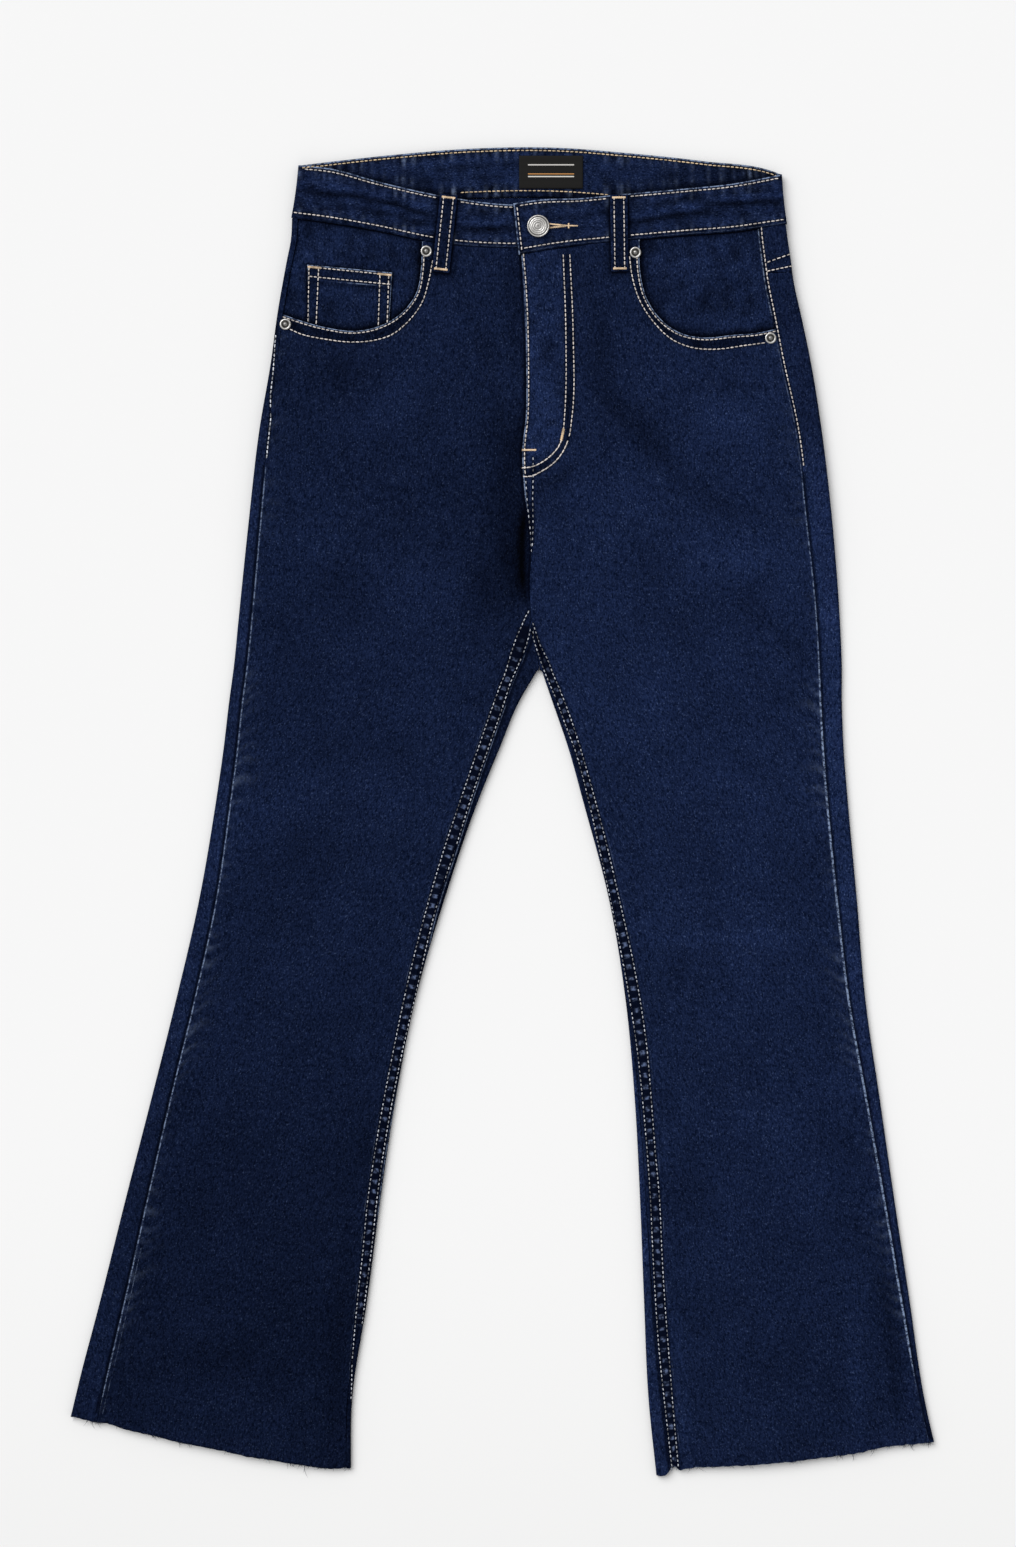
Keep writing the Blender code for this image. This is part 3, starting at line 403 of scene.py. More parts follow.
# ------------ curves
def smooth(table, at, column=1):
    """A curve through a table's rows, read at one place or many: each stretch is a cubic whose slopes
    at its ends are those between the neighbouring rows."""
    rows = np.array(sorted((row[0], row[column]) for row in table if len(row) > column), float)
    knots, values = rows[:, 0], rows[:, 1]
    slopes = np.gradient(values, knots)
    at = np.clip(np.asarray(at, float), knots[0], knots[-1])
    i = np.clip(np.searchsorted(knots, at, side="right") - 1, 0, len(knots) - 2)
    step = knots[i + 1] - knots[i]
    t = (at - knots[i]) / step
    return (
        (1 + 2 * t) * (1 - t) ** 2 * values[i]
        + t * (1 - t) ** 2 * step * slopes[i]
        + t**2 * (3 - 2 * t) * values[i + 1]
        + t**2 * (t - 1) * step * slopes[i + 1]
    )


def leg_line(side, name, level):
    """X of one of a leg's four lines at a level."""
    return smooth(LEG_SECTIONS[side], level, LEG_COLUMNS.index(name))


def ramp(at, between):
    """0 before the first value, 1 after the second, and a smooth rise between."""
    t = np.clip((np.asarray(at, float) - between[0]) / (between[1] - between[0]), 0, 1)
    return t * t * (3 - 2 * t)


def mix(a, b, share):
    return a + (b - a) * share


def pick(side, right, left):
    return right if side == "right" else left


def outward(side):
    """The sign of X from the middle of the garment to this leg's outer edge."""
    return -1.0 if side == "right" else 1.0


def line_normals(side, name, levels):
    """Unit vectors square to one of a leg's lines, pointing away from its front panel."""
    nudge = 1.0
    rise = leg_line(side, name, levels + nudge) - leg_line(side, name, levels - nudge)
    slope = rise / (2 * nudge)
    away = outward(side) if name in ("outer", "outseam") else -outward(side)
    normals = away * np.stack([np.ones_like(slope), -slope], axis=1)
    return normals / np.linalg.norm(normals, axis=1, keepdims=True)


def bottom_height(level):
    return mix(LEG_BOTTOM, SEAT_BOTTOM, ramp(level, SEAT_RAMP))


def top_height(level):
    return mix(LEG_TOP, HIP_TOP, ramp(level, HIP_RAMP))


def roll_radius(level):
    return (top_height(level) - bottom_height(level)) / 2


def fold_inset(level):
    """How far inside the edge of the garment the cloth begins to turn round the fold."""
    return roll_radius(level) + CLOTH / 2


# ------------ the rows that panels share
def inner_fold(side):
    """(feet, normals, travel) of the inner-leg fold, from the crotch seam down to the hem. It starts on
    the small round at the top of the space between the legs and then follows the inner edge."""
    turn = np.radians(np.linspace(90.0, CROTCH_TURN[side], ROUND_ROWS))
    reach = GAP_ROUND + fold_inset(GAP_CENTRE[1])
    spokes = np.stack([np.cos(turn), np.sin(turn)], axis=1)
    round_feet = np.array(GAP_CENTRE) + reach * spokes
    levels = np.arange(LEG_FIRST_ROW, HEM[side]["inner"], -LEG_ROW_STEP)
    levels = np.append(levels, HEM[side]["inner"])
    normals = line_normals(side, "inner", levels)
    edge = np.stack([leg_line(side, "inner", levels), levels], axis=1)
    edge_feet = edge - normals * fold_inset(levels)[:, None]
    feet = np.concatenate([round_feet, edge_feet])
    return feet, np.concatenate([-spokes, normals]), travelled(feet)


def leg_rows(side):
    """Levels of a leg's rows at the outer edge and on the inseam, and their shares of the way down."""
    feet, _, travel = inner_fold(side)
    lead = CROTCH[1] - feet[0, 1]
    inseam = feet[:, 1] + lead * np.clip(1 - travel / CROTCH_LEAD_LENGTH, 0, 1)
    share = (feet[0, 1] - feet[:, 1]) / (feet[0, 1] - HEM[side]["inner"])
    outer = mix(feet[0, 1], HEM[side]["outer"], share)
    outer += SIDE_LEAD * np.clip(1 - travel / SIDE_LEAD_LENGTH, 0, 1)
    inseam[-1] = HEM[side]["inner"]
    return outer, inseam, np.clip(share, 0, 1)


def even_hip(first, last):
    """Levels of even rows above the crotch, as far as the last level."""
    return np.linspace(first, last, int((last - first) / HIP_ROW_STEP))[1:]


def hip_levels(side):
    """Levels of the rows above the crotch at the side, up to the yoke seam."""
    first = leg_rows(side)[0][0]
    return np.linspace(first, YOKE_SIDE - GAP / 2, 9)[1:]


def seam_points(side, name, levels, shift):
    """Points on the outseam or the inseam, moved square to it: a positive shift leaves the front panel."""
    on_seam = np.stack([leg_line(side, name, levels), levels], axis=1)
    return on_seam + shift * line_normals(side, name, levels)


# ------------ lines and noise
def travelled(points):
    """Length of a line as far as each of its points."""
    return np.append(0.0, np.cumsum(np.linalg.norm(np.diff(points, axis=0), axis=1)))


def drawn(points, step=3.0):
    """A smooth line through the points, as closely spaced points."""
    points = np.array(points, float)
    chord = travelled(points)
    fine = np.linspace(0, chord[-1], max(2, int(chord[-1] / step)))
    return np.stack([smooth(np.column_stack([chord, points[:, k]]), fine) for k in (0, 1)], axis=1)


def beside(path, distance):
    """The path moved square to itself; a positive distance is to its left."""
    run = np.gradient(path, axis=0)
    run /= np.linalg.norm(run, axis=1, keepdims=True)
    return path + distance * np.stack([-run[:, 1], run[:, 0]], axis=1)


def from_path(x, y, path, steepness=12.0):
    """(signed distance of each place from a path, share of the way along it). The distance is positive
    on the path's left, and grows steeply past the path's ends. At a corner, where two stretches are as
    near, the one that the place lies more to the side of gives the sign."""
    path = np.asarray(path, float)
    shape = np.broadcast(x, y).shape
    at = np.stack([np.broadcast_to(value, shape).ravel() for value in (x, y)], axis=1)
    start, run, before = path[:-1], np.diff(path, axis=0), travelled(path)
    length = np.linalg.norm(run, axis=1)
    best = np.full(len(at), np.inf)
    signed, travel = np.zeros(len(at)), np.zeros(len(at))
    for k in range(len(run)):
        offset = at - start[k]
        along = offset @ run[k] / length[k]
        clipped = np.clip(along, 0, length[k])
        side = (run[k, 0] * offset[:, 1] - run[k, 1] * offset[:, 0]) / length[k]
        gap = np.hypot(along - clipped, side)
        key = gap - CORNER_SHARE * np.abs(side)
        nearer = key < best
        best = np.where(nearer, key, best)
        over = np.zeros(len(at))
        if k == 0:
            over = np.maximum(over, -along)
        if k == len(run) - 1:
            over = np.maximum(over, along - length[k])
        size = np.where(over > 0, np.abs(side) + steepness * over, gap)
        signed = np.where(nearer, np.where(side < 0, -size, size), signed)
        travel = np.where(nearer, before[k] + clipped, travel)
    return signed.reshape(shape), (travel / before[-1]).reshape(shape)


def off(x, y, line):
    """Signed distance of each place from a line."""
    return from_path(x, y, line)[0]


def bell(distance, width):
    """exp(-(distance / width)^2): 1 on a line, and nearly 0 at twice the width from it."""
    return np.exp(-((distance / width) ** 2))


def fainter(distance, by):
    """A distance from which a line draws weaker: its least value is raised by this much."""
    return np.abs(distance) + by


def wander(x, y, size, seed):
    """Smooth random values between about -1 and 1 whose features have about that size: the mean of nine
    plane waves in random directions."""
    random = np.random.default_rng(seed)
    angle, phase = random.uniform(0, 2 * math.pi, (2, 9))
    turns = 2 * math.pi / (size * random.uniform(1.3, 3.2, 9))
    waves = np.sin((x[..., None] * np.cos(angle) + y[..., None] * np.sin(angle)) * turns + phase)
    return 1.9 * waves.mean(axis=-1)


def beats(at, pitch, seed):
    """Uneven waves along a line, between -1 and 1, whose length wanders round the pitch."""
    random = np.random.default_rng(seed)
    phase = random.uniform(0, 2 * math.pi, 4)
    turn = 2 * math.pi * at / pitch
    turn = turn + 1.3 * np.sin(turn / 3.7 + phase[0]) + 0.9 * np.sin(turn / 7.9 + phase[1])
    strength = 0.65 + 0.35 * np.sin(turn / 5.3 + phase[2])
    return strength * np.sin(turn + phase[3])


def bunched(count, amount):
    """Shares from 0 to 1 that lie closer together near both ends."""
    t = np.linspace(0, 1, count)
    return t - amount * np.sin(2 * math.pi * t)


# ------------ heights
def soft_lines(side, x, y, table, step, ends):
    """What each soft line of one front adds: its value from the table times exp(-(distance / half
    width)^2), fading at the line's ends."""
    for half_width, value, line in table[side]:
        distance, share = from_path(x, y, drawn(line, step), 1.0)
        taper = ramp(share, ends) * ramp(1 - share, ends)
        yield value * taper * bell(distance, half_width)


def fold_relief(side, x, y):
    """The height of the soft folds of a front."""
    total = np.zeros(np.broadcast(x, y).shape)
    for height in soft_lines(side, x, y, FOLDS, 12.0, (-0.1, 0.3)):
        total += height
    return total


def shading(side, x, y):
    """How light a front is: its tone down the leg, which is partly painted light, cloudy patches, and the
    soft dark and light places, which are painted shade and painted light.
    """
    seed = pick(side, 13, 63)
    clouds = 0.10 * wander(x, y, 60.0, seed) + 0.06 * wander(x, y, 24.0, seed + 1)
    tone = smooth(TONES_AND_PAINTED_LIGHT[side], y) * (1 + clouds)
    for lighter in soft_lines(side, x, y, PAINTED_LIGHT_AND_SHADE, 10.0, (-0.05, 0.3)):
        tone = tone * (1 + lighter)
    return tone


def outseam_puckers(side, x, y):
    """(height, crest) of the short ridges that run off the outseam on both sides of it."""
    away = (x - leg_line(side, "outseam", y)) * outward(side)
    reach_from, reach_to = OUTSEAM_PUCKERS[side]
    amount = 0.35 + 0.65 * (1 - ramp(y, reach_from)) * ramp(y, reach_to)
    inside = np.where(away < 0, -away, 1.6 * away)
    slanted = y + 0.3 * away + 2.0 * np.sin(away / 3.0 + y / 40.0)
    wave = beats(slanted, OUTSEAM_PITCH, pick(side, 3, 4))
    reach = 6.5 + 3.5 * np.sin(y / 31.0) + 1.5 * np.sin(y / 11.0)
    fade = np.exp(-((inside / reach) ** 1.5)) * (y < PUCKERS_TOP)
    return PUCKER_HEIGHT * amount * fade * wave, amount * fade * wave


def felled_band(side, x, y):
    """(share of the way across the felled inner-leg seam, travel along it, 1 between its rows)."""
    first, travel = from_path(x, y, fell_rows(side)[0])
    wide = np.maximum(np.abs(first - off(x, y, fell_rows(side)[1])), 0.5)
    share = first / wide
    inside = ramp(share, (-0.1, 0.08)) * ramp(1 - share, (-0.1, 0.08)) * (wide < FELL_MOST)
    return share, travel * FELL_LENGTH, inside


def felled_relief(side, x, y):
    """The ridges across the felled seam."""
    share, travel, inside = felled_band(side, x, y)
    wave = np.sin(travel * 2 * math.pi / FELL_PITCH + 1.2 * np.sin(travel / 23.0))
    middle = np.exp(-(((share - 0.5) / 0.4) ** 4))
    near = np.exp(-np.maximum(0, np.abs(share - 0.5) - 0.5) * 1.6) * (np.abs(share) < 6)
    return inside * (0.35 + 0.3 * wave) * middle + 0.12 * near * wave


def fly_x(level):
    return smooth(FLY_EDGE, level)


def front_height(side, x, level, across):
    """Height of a front panel: the top level, raised in the middle of a leg, with folds and puckers, and
    lifted over the fly."""
    middle = np.sin(math.pi * np.clip(across, 0, 1))
    on_leg = 1 - ramp(level, HIP_RAMP)
    height = top_height(level) + LEG_RISE * middle**0.8 * on_leg
    from_side = np.abs(x - leg_line(side, "outseam", level))
    clear = ramp(from_side, (1.0, 16.0)) * ramp(middle, (0.02, 0.3))
    folds = fold_relief(side, x, level)
    uneven = 0.45 * wander(x, level, 42.0, pick(side, 11, 12))
    height = height + clear * (uneven * (0.35 + 0.65 * on_leg))
    height = height + folds * np.where(folds < 0, ramp(from_side, (0.0, 10.0)), clear)
    height = height + outseam_puckers(side, x, level)[0] + felled_relief(side, x, level)
    if side == "left":
        near = 1 - ramp(x - fly_x(level), FLY_LIFT_WIDTH)
        height = height + FLY_LIFT * near * ramp(level, FLY_LIFT_RAMP)
    return height


# ------------ lines of stitches
def seam_row(side, name, shift, top, low, step=9.0):
    levels = np.append(np.arange(top, low, -step), low)
    return seam_points(side, name, levels, shift)


def pocket_opening(side):
    return drawn(POCKET_EDGE[side])


def fell_rows(side):
    return [drawn(line, 6.0) for line in FELL[side]]


def outseam_row(side, top):
    levels = np.append(np.arange(top, TOPSTITCH_END[side], -4.5), TOPSTITCH_END[side])
    shift = np.interp(levels, *np.array(TOPSTITCH_SHIFT[side]).T)
    return seam_points(side, "outseam", levels, shift[:, None])


def pocket_rows(side):
    first = beside(pocket_opening(side), 1.7 * outward(side))
    return [first[first[:, 1] < ROWS_TOP], drawn(POCKET_SECOND[side])]


def fly_line(top, low, shift):
    """A line beside the fly's edge."""
    levels = np.arange(top, low, -6.0)
    return np.stack([fly_x(levels) + shift, levels], axis=1)


def fly_rows():
    lines = (FLY_INNER_ROW, FLY_OUTER_ROW, *CROTCH_ROWS)
    return [fly_line(ROWS_TOP, 250.0, 1.7)] + [drawn(line) for line in lines]


def centre_rows(top):
    """The two rows of the centre back seam."""
    return [np.array([[CENTRE + d, top], [CENTRE + d, CENTRE_ROWS_END]]) for d in CENTRE_ROW_SHIFTS]


# ------------ meshes
def grid_faces(index):
    """Four-sided faces between neighbouring entries of a two-dimensional array of vertex numbers."""
    a, b = index[:-1, :-1].ravel(), index[:-1, 1:].ravel()
    c, d = index[1:, 1:].ravel(), index[1:, :-1].ravel()
    return np.stack([a, b, c, d], axis=1)


def developed(points):
    """(longest row, longest column) of a grid, measured along the cloth."""
    across = np.linalg.norm(np.diff(points, axis=1), axis=2).sum(axis=1)
    down = np.linalg.norm(np.diff(points, axis=0), axis=2).sum(axis=0)
    return across.max(), down.max()


def area_of(points, faces):
    a, b, c, d = (points[faces[:, k]] for k in range(4))
    return (np.linalg.norm(np.cross(c - a, d - b), axis=1) / 2).sum()


def mesh_object(name, points, faces, finish):
    """A smooth-shaded mesh object from points in millimetres and faces of one size."""
    faces = np.asarray(faces)
    mesh = bpy.data.meshes.new(name)
    mesh.vertices.add(len(points))
    mesh.vertices.foreach_set("co", (np.asarray(points) * MM).astype(np.float32).ravel())
    mesh.loops.add(faces.size)
    mesh.loops.foreach_set("vertex_index", faces.astype(np.int32).ravel())
    mesh.polygons.add(len(faces))
    mesh.polygons.foreach_set("loop_start", np.arange(0, faces.size, faces.shape[1], dtype=np.int32))
    mesh.update(calc_edges=True)
    mesh.validate()
    mesh.materials.append(finish)
    mesh.shade_smooth()
    made = bpy.data.objects.new(name, mesh)
    bpy.context.scene.collection.objects.link(made)
    return made


def grid_index(points, first=0):
    return np.arange(points.shape[0] * points.shape[1]).reshape(points.shape[:2]) + first


def store(made, name, values):
    """Writes one value or one vector a vertex as a named attribute."""
    values = np.asarray(values, np.float32)
    kind, field = ("FLOAT", "value") if values.ndim == 1 else ("FLOAT_VECTOR", "vector")
    made.data.attributes.new(name, kind, "POINT").data.foreach_set(field, values.ravel())


def dress(made, points, shade=1.0, wear=0.0, rows=(), worn=(), weave=None):
    """Gives a piece of denim what its material reads: where each point lies in the weave, how light it is,
    with its tone and its painted light and shade, how worn it is, and its distances from the stitch rows
    and the other lines that it is painted dark beside as shade, and from the worn lines."""
    points = points.reshape(-1, 3)
    count = len(points)
    store(made, "weave", points if weave is None else weave)
    store(made, "shade", np.broadcast_to(shade, count))
    store(made, "wear", np.broadcast_to(wear, count))
    for prefix, distances, groups in (("row", list(rows), ROW_GROUPS), ("worn", list(worn), WORN_GROUPS)):
        distances += [np.full(count, FAR)] * (3 * len(groups) - len(distances))
        for k, group in enumerate(groups):
            store(made, f"{prefix}_{group}", np.stack(distances[3 * k : 3 * k + 3], axis=1))


def cloth(node, points, faces, flat, rests_on=(), finish="denim", wall=CLOTH):
    """A sheet of cloth that stands for a CAD node: the middle surface, with its wall added. flat is its
    width and length in millimetres."""
    points = points.reshape(-1, 3)
    made = mesh_object(f"cloth_{node}", points, faces, FINISH[finish])
    thick = made.modifiers.new("wall", "SOLIDIFY")
    thick.thickness = wall * MM
    thick.offset = 0.0
    thick.use_even_offset = True
    thick.use_quality_normals = True
    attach(made, "root")
    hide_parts(node)
    SHEETS[made.name] = {
        "piece": made, "flat": tuple(size * MM for size in flat), "area": area_of(points, faces) * MM * MM,
        "rests_on": list(rests_on), "with": [],
    }
    return made


def grid_cloth(node, grid, rests_on=(), up=True, judged=None, **more):
    """A grid of points as a sheet of cloth whose outer side faces up, or else down. Which way it faces
    is judged by the whole grid, or by the part of it that is given."""
    faces = grid_faces(grid_index(grid))
    if faces_down(grid if judged is None else judged) == up:
        faces = faces[:, ::-1]
    return cloth(node, grid, faces, developed(grid), rests_on, **more)


def faces_down(grid):
    """Whether the faces of a grid of points mostly look down."""
    faces = grid_faces(grid_index(grid))
    a, b, d = (grid.reshape(-1, 3)[faces[:, k]] for k in (0, 1, 3))
    return np.cross(b - a, d - a)[:, 2].sum() < 0





# ------------ panels
def roll_columns(feet, normals, radius, low, steps):
    """Columns round a fold: half a turn from the foot on the underside (step 0) to the one above it."""
    columns = []
    for step in steps:
        angle = math.pi * step / ROLL_STEPS
        flat = feet + normals * (radius * math.sin(angle))[:, None]
        columns.append(np.column_stack([flat, low + radius * (1 - math.cos(angle))]))
    return columns


def side_columns(side, levels):
    """The columns that carry cloth from the outseam, round the side fold, to its foot on the underside."""
    normals = line_normals(side, "outer", levels)
    edge = np.stack([leg_line(side, "outer", levels), levels], axis=1)
    radius = roll_radius(levels)
    feet = edge - normals * (radius + CLOTH / 2)[:, None]
    seam = seam_points(side, "outseam", levels, GAP / 2)
    columns = []
    for share in np.linspace(0, 1, STRIP_COLUMNS)[:-1]:
        flat = mix(seam, feet, share)
        height = top_height(flat[:, 1]) + outseam_puckers(side, flat[:, 0], flat[:, 1])[0] * (1 - share)
        columns.append(np.column_stack([flat, height]))
    columns += roll_columns(feet, normals, radius, bottom_height(levels), range(ROLL_STEPS, -1, -1))
    return np.stack(columns, axis=1)


def under_height(x, y, seed):
    """The underside: flat on the surface it lies on, with low uneven ridges."""
    return bottom_height(y) + 0.5 * np.clip(wander(x, y, 46.0, seed), 0, 1)


def underside(side, outer_levels, ends, bow, seed):
    """Rows of the underside from the side fold's foot to the given inner ends, hanging by bow in the
    middle."""
    wrap = side_columns(side, outer_levels)
    feet = wrap[:, -1, :2]
    columns = []
    for share in bunched(UNDER_COLUMNS, 0.1)[1:]:
        flat = mix(feet, ends, share)
        flat[:, 1] -= bow * 4 * share * (1 - share)
        edge = math.sin(math.pi * share)
        height = mix(bottom_height(flat[:, 1]), under_height(flat[:, 0], flat[:, 1], seed), edge)
        columns.append(np.column_stack([flat, height]))
    return np.concatenate([wrap, np.stack(columns, axis=1)], axis=1)


def hem_bow(side, share):
    return HEM[side]["bow"] * share**4


def to_hem(side, points, first):
    """Moves the rows of a leg, from its first row on, so that its lowest one follows the hem line."""
    x, y = points[first:, :, 0], points[first:, :, 1]
    drop = np.interp(x[-1], *np.array(HEM_LINE[side]).T) - y[-1]
    drop = drop + HEM_UNEVEN * wander(x[-1], 0 * x[-1], 3.2, pick(side, 21, 22))
    points[first:, :, 1] = y + drop * (1 - ramp(y - y[-1], (0.0, HEM_FADE)))
    return points


def back_grids(side):
    """The two grids of a back panel, which share the foot of the inner fold, and how many rows of the
    first lie above the crotch. The first is the underside with the side fold. The second turns round
    the inner fold below the crotch and comes up to the inseam."""
    feet, normals, _ = inner_fold(side)
    outer, inseam, share = leg_rows(side)
    clear = outward(side) * GAP / 2
    feet = feet + np.array([clear, 0.0]) * (np.arange(len(feet)) == 0)[:, None]
    hip = even_hip(outer[0], hip_levels(side)[-1])
    rise = (hip - outer[0]) / (hip[-1] - outer[0])
    centre_levels = mix(feet[0, 1], YOKE_CENTRE - GAP / 2, rise)
    centre = np.stack([np.full_like(hip, CENTRE + clear), centre_levels], axis=1)
    bow = np.append(np.zeros(len(hip)), hem_bow(side, share))
    outer_levels = np.append(hip[::-1], outer)
    under = underside(side, outer_levels, np.concatenate([centre[::-1], feet]), bow, pick(side, 31, 32))
    low = bottom_height(feet[:, 1])
    turn = roll_columns(feet, normals, roll_radius(feet[:, 1]), low, range(1, ROLL_STEPS + 1))
    seam = seam_points(side, "inseam", inseam, GAP / 2)
    seam[0] = mix(np.array(CROTCH), feet[0], CROTCH_TIP) + np.array([clear, 0.0])
    for step in np.linspace(0, 1, INNER_COLUMNS)[1:]:
        flat = mix(feet, seam, step)
        height = top_height(flat[:, 1]) + step * felled_relief(side, flat[:, 0], flat[:, 1])
        turn.append(np.column_stack([flat, height]))
    return to_hem(side, under, len(hip)), to_hem(side, np.stack(turn, axis=1), 0), len(hip)


def back_rows(side, x, y, upper):
    """(distances from the stitch rows, distances from the worn line) of a back panel, whose rows show on
    the strips that come up on the front. The centre back rows are on its underside."""
    fell, hem = fell_rows(side), HEM[side]["outer"]
    strip_row = fell[pick(side, 1, 0)]
    lines = [outseam_row(side, pick(side, 372.0, 408.0)), *fell]
    # not stitches: the outseam below its topstitching and a line past the felled seam, taken as rows so that
    # the cloth is painted dark along them as shade in their grooves
    lines.append(seam_row(side, "outseam", 0.6, TOPSTITCH_END[side] - 4, hem))
    lines.append(beside(strip_row, -outward(side) * pick(side, 3.0, 2.2)))
    rows = [np.where(upper, off(x, y, line), FAR) for line in lines]
    if side == "right":
        return rows, [np.where(upper, fainter(off(x, y, beside(strip_row, 1.6)), 0.25), FAR)]
    rows += [np.where(upper, FAR, off(x, y, line)) for line in centre_rows(YOKE_CENTRE)]
    return rows, []


def back_shade(side, x, y, upper):
    """How light a back panel is: the tone of its leg, which is partly painted light, lighter on the strip
    along the outseam, and there lighter on the crests of its puckers and darker between them, partly wear
    and partly painted light and shade, its own on the strip along the inseam, and painted shade at the side
    fold, where the cloth turns away."""
    crest = np.where(upper, outseam_puckers(side, x, y)[1], 0.0)
    inner = upper & (x * outward(side) < leg_line(side, "inseam", y) * outward(side) + 12)
    tone = smooth(TONES_AND_PAINTED_LIGHT[side], y) * (1 + 0.12 * wander(x, y, 30.0, 33))
    strip = mix(1.0, pick(side, 1.45, 1.5), 1 - ramp(y, (230.0, 320.0)))
    shade = np.where(upper, tone * strip * (0.9 + 0.14 * crest), tone)
    shade = np.where(inner, pick(side, 0.72, 1.4) * tone, shade)
    edge = np.abs(x - leg_line(side, "outer", y))
    # painted shade along the side fold, where the cloth turns away
    return np.clip(shade * (1 - 0.4 * bell(edge, 1.6) * upper), 0.1, 2.4)


def back_panel(side):
    """A back panel, from the grids of back_grids joined at the foot of the inner fold."""
    under, turn, above = back_grids(side)
    under_index = grid_index(under)
    joined = np.concatenate([under_index[above:, -1:], grid_index(turn, under_index.size)], axis=1)
    points = np.concatenate([under.reshape(-1, 3), turn.reshape(-1, 3)])
    faces = np.concatenate([grid_faces(under_index), grid_faces(joined)])
    if not faces_down(under[:, -10:]):
        faces = faces[:, ::-1]
    width, length = developed(under)
    width += developed(turn)[0]
    made = cloth(f"back_panel_{side}", points, faces, (width, length), [f"back_pocket_{side}"])
    x, y, z = points.T
    upper = z > mix(bottom_height(y), top_height(y), 0.45)
    rows, worn = back_rows(side, x, y, upper)
    dress(made, points, back_shade(side, x, y, upper), 0.0, rows, worn)
    fell_place(made, side, x, y, upper)


def yoke(side):
    """A back yoke: from the yoke seam up to the waistband, round the side fold to the outseam."""
    rows = []
    front = band_front(side)
    side_low = YOKE_SIDE - YOKE_COVER
    side_top = smooth(front, leg_line(side, "outseam", YOKE_SIDE), 2)
    shares = bunched(UNDER_COLUMNS, 0.1)[1:]
    for share in np.linspace(0, 1, YOKE_ROWS):
        wrap = side_columns(side, np.array([mix(side_low, side_top, share)]))[0]
        rise = np.clip((wrap[:, 2] - SEAT_BOTTOM) / (HIP_TOP - SEAT_BOTTOM), 0, 1)
        edge = mix(smooth(BAND_BACK, wrap[:, 0], 2), smooth(front, wrap[:, 0], 2), rise)
        wrap[:, 1] = mix(side_low, edge - GAP, share)
        x = mix(wrap[-1, 0], CENTRE + outward(side) * GAP / 2, shares)
        low = mix(YOKE_SIDE, YOKE_CENTRE, shares) - YOKE_COVER
        y = mix(low, smooth(BAND_BACK, x, 2) - GAP, share)
        rows.append(np.concatenate([wrap, np.column_stack([x, y, bottom_height(y)])]))
    grid = np.array(rows)
    made = grid_cloth(f"yoke_{side}", grid, up=False, judged=grid[:, -10:])
    x, y, z = grid.reshape(-1, 3).T
    upper = z > YOKE_FOLD
    lines = [outseam_row(side, 446.0), *YOKE_ROWS_SHOWING] if side == "left" else []
    rows = [np.where(upper, off(x, y, line), FAR) for line in lines]
    dress(made, grid, np.where(upper, 0.95, 1.05), 0.0, rows)


def front_top_edge(side):
    """The front panel's upper edge: along the pocket opening from the outseam, then along the waistband to
    the fly; and the number of points on the opening."""
    band = band_front(side)
    opening = np.array(POCKET_EDGE[side])
    opening[0] = seam_points(side, "outseam", opening[:1, 1], -GAP / 2)[0]
    opening[-1, 1] = smooth(band, opening[-1, 0], 2) - GAP
    opening = drawn(opening, 1.5)
    end = fly_x(smooth(band, TAB_END, 2)) + pick(side, FLY_LAP, 0.0)
    x = np.linspace(opening[-1, 0], end, 50)[1:]
    waist = np.stack([x, smooth(band, x, 2) - GAP], axis=1)
    return np.concatenate([opening, waist]), len(opening)


def fly_end(side, levels):
    """The inner end of a front panel's rows above the crotch."""
    if side == "left":
        return fly_x(levels) + GAP / 2 * (1 - ramp(levels, FLY_LIFT_RAMP))
    return fly_x(levels) + mix(-GAP / 2, FLY_LAP, ramp(levels, FLY_LAP_RAMP))


def front_grid(side):
    """A front panel's points: rows from the pocket opening, whose curve the first rows run out of, down to
    the hem."""
    edge, corner = front_top_edge(side)
    travel = travelled(edge)
    across = bunched(FRONT_COLUMNS, BUNCH)
    corner_share = travel[corner - 1] / travel[-1]
    across[np.argmin(np.abs(across - corner_share))] = corner_share
    top_edge = np.stack([np.interp(across * travel[-1], travel, edge[:, k]) for k in (0, 1)], axis=1)
    outer, inseam, share = leg_rows(side)
    hip = hip_levels(side)
    hip = even_hip(outer[0], hip[hip < min(edge[:, 1]) - HIP_ROW_CLEAR][-1])
    inner = mix(CROTCH[1], hip[-1], (hip - outer[0]) / (hip[-1] - outer[0]))[::-1]
    outer_ends = seam_points(side, "outseam", np.append(hip[::-1], outer), -GAP / 2)
    leg_ends = seam_points(side, "inseam", inseam, -GAP / 2)
    leg_ends[0] = (CROTCH[0] + outward(side) * GAP / 2, CROTCH[1] + GAP / 2)
    inner_ends = np.concatenate([np.stack([fly_end(side, inner), inner], axis=1), leg_ends])
    flat = mix(outer_ends[:, None], inner_ends[:, None], across[None, :, None])
    bow = np.append(np.zeros(len(hip)), hem_bow(side, share))
    flat[:, :, 1] -= bow[:, None] * 4 * across * (1 - across)
    steps = np.linspace(0, 1, SHOULDER_COUNT)[:-1] ** 1.5
    shoulder = [mix(top_edge, flat[0], step) for step in steps]
    flat = to_hem(side, np.concatenate([shoulder, flat]), len(shoulder) + len(hip))
    x, y = flat[:, :, 0], flat[:, :, 1]
    height = front_height(side, x, y, across[None, :])
    height -= OPENING_DIP * bell(np.abs(off(x, y, pocket_opening(side))), 1.1) * (y > 350)
    return np.dstack([flat, height])


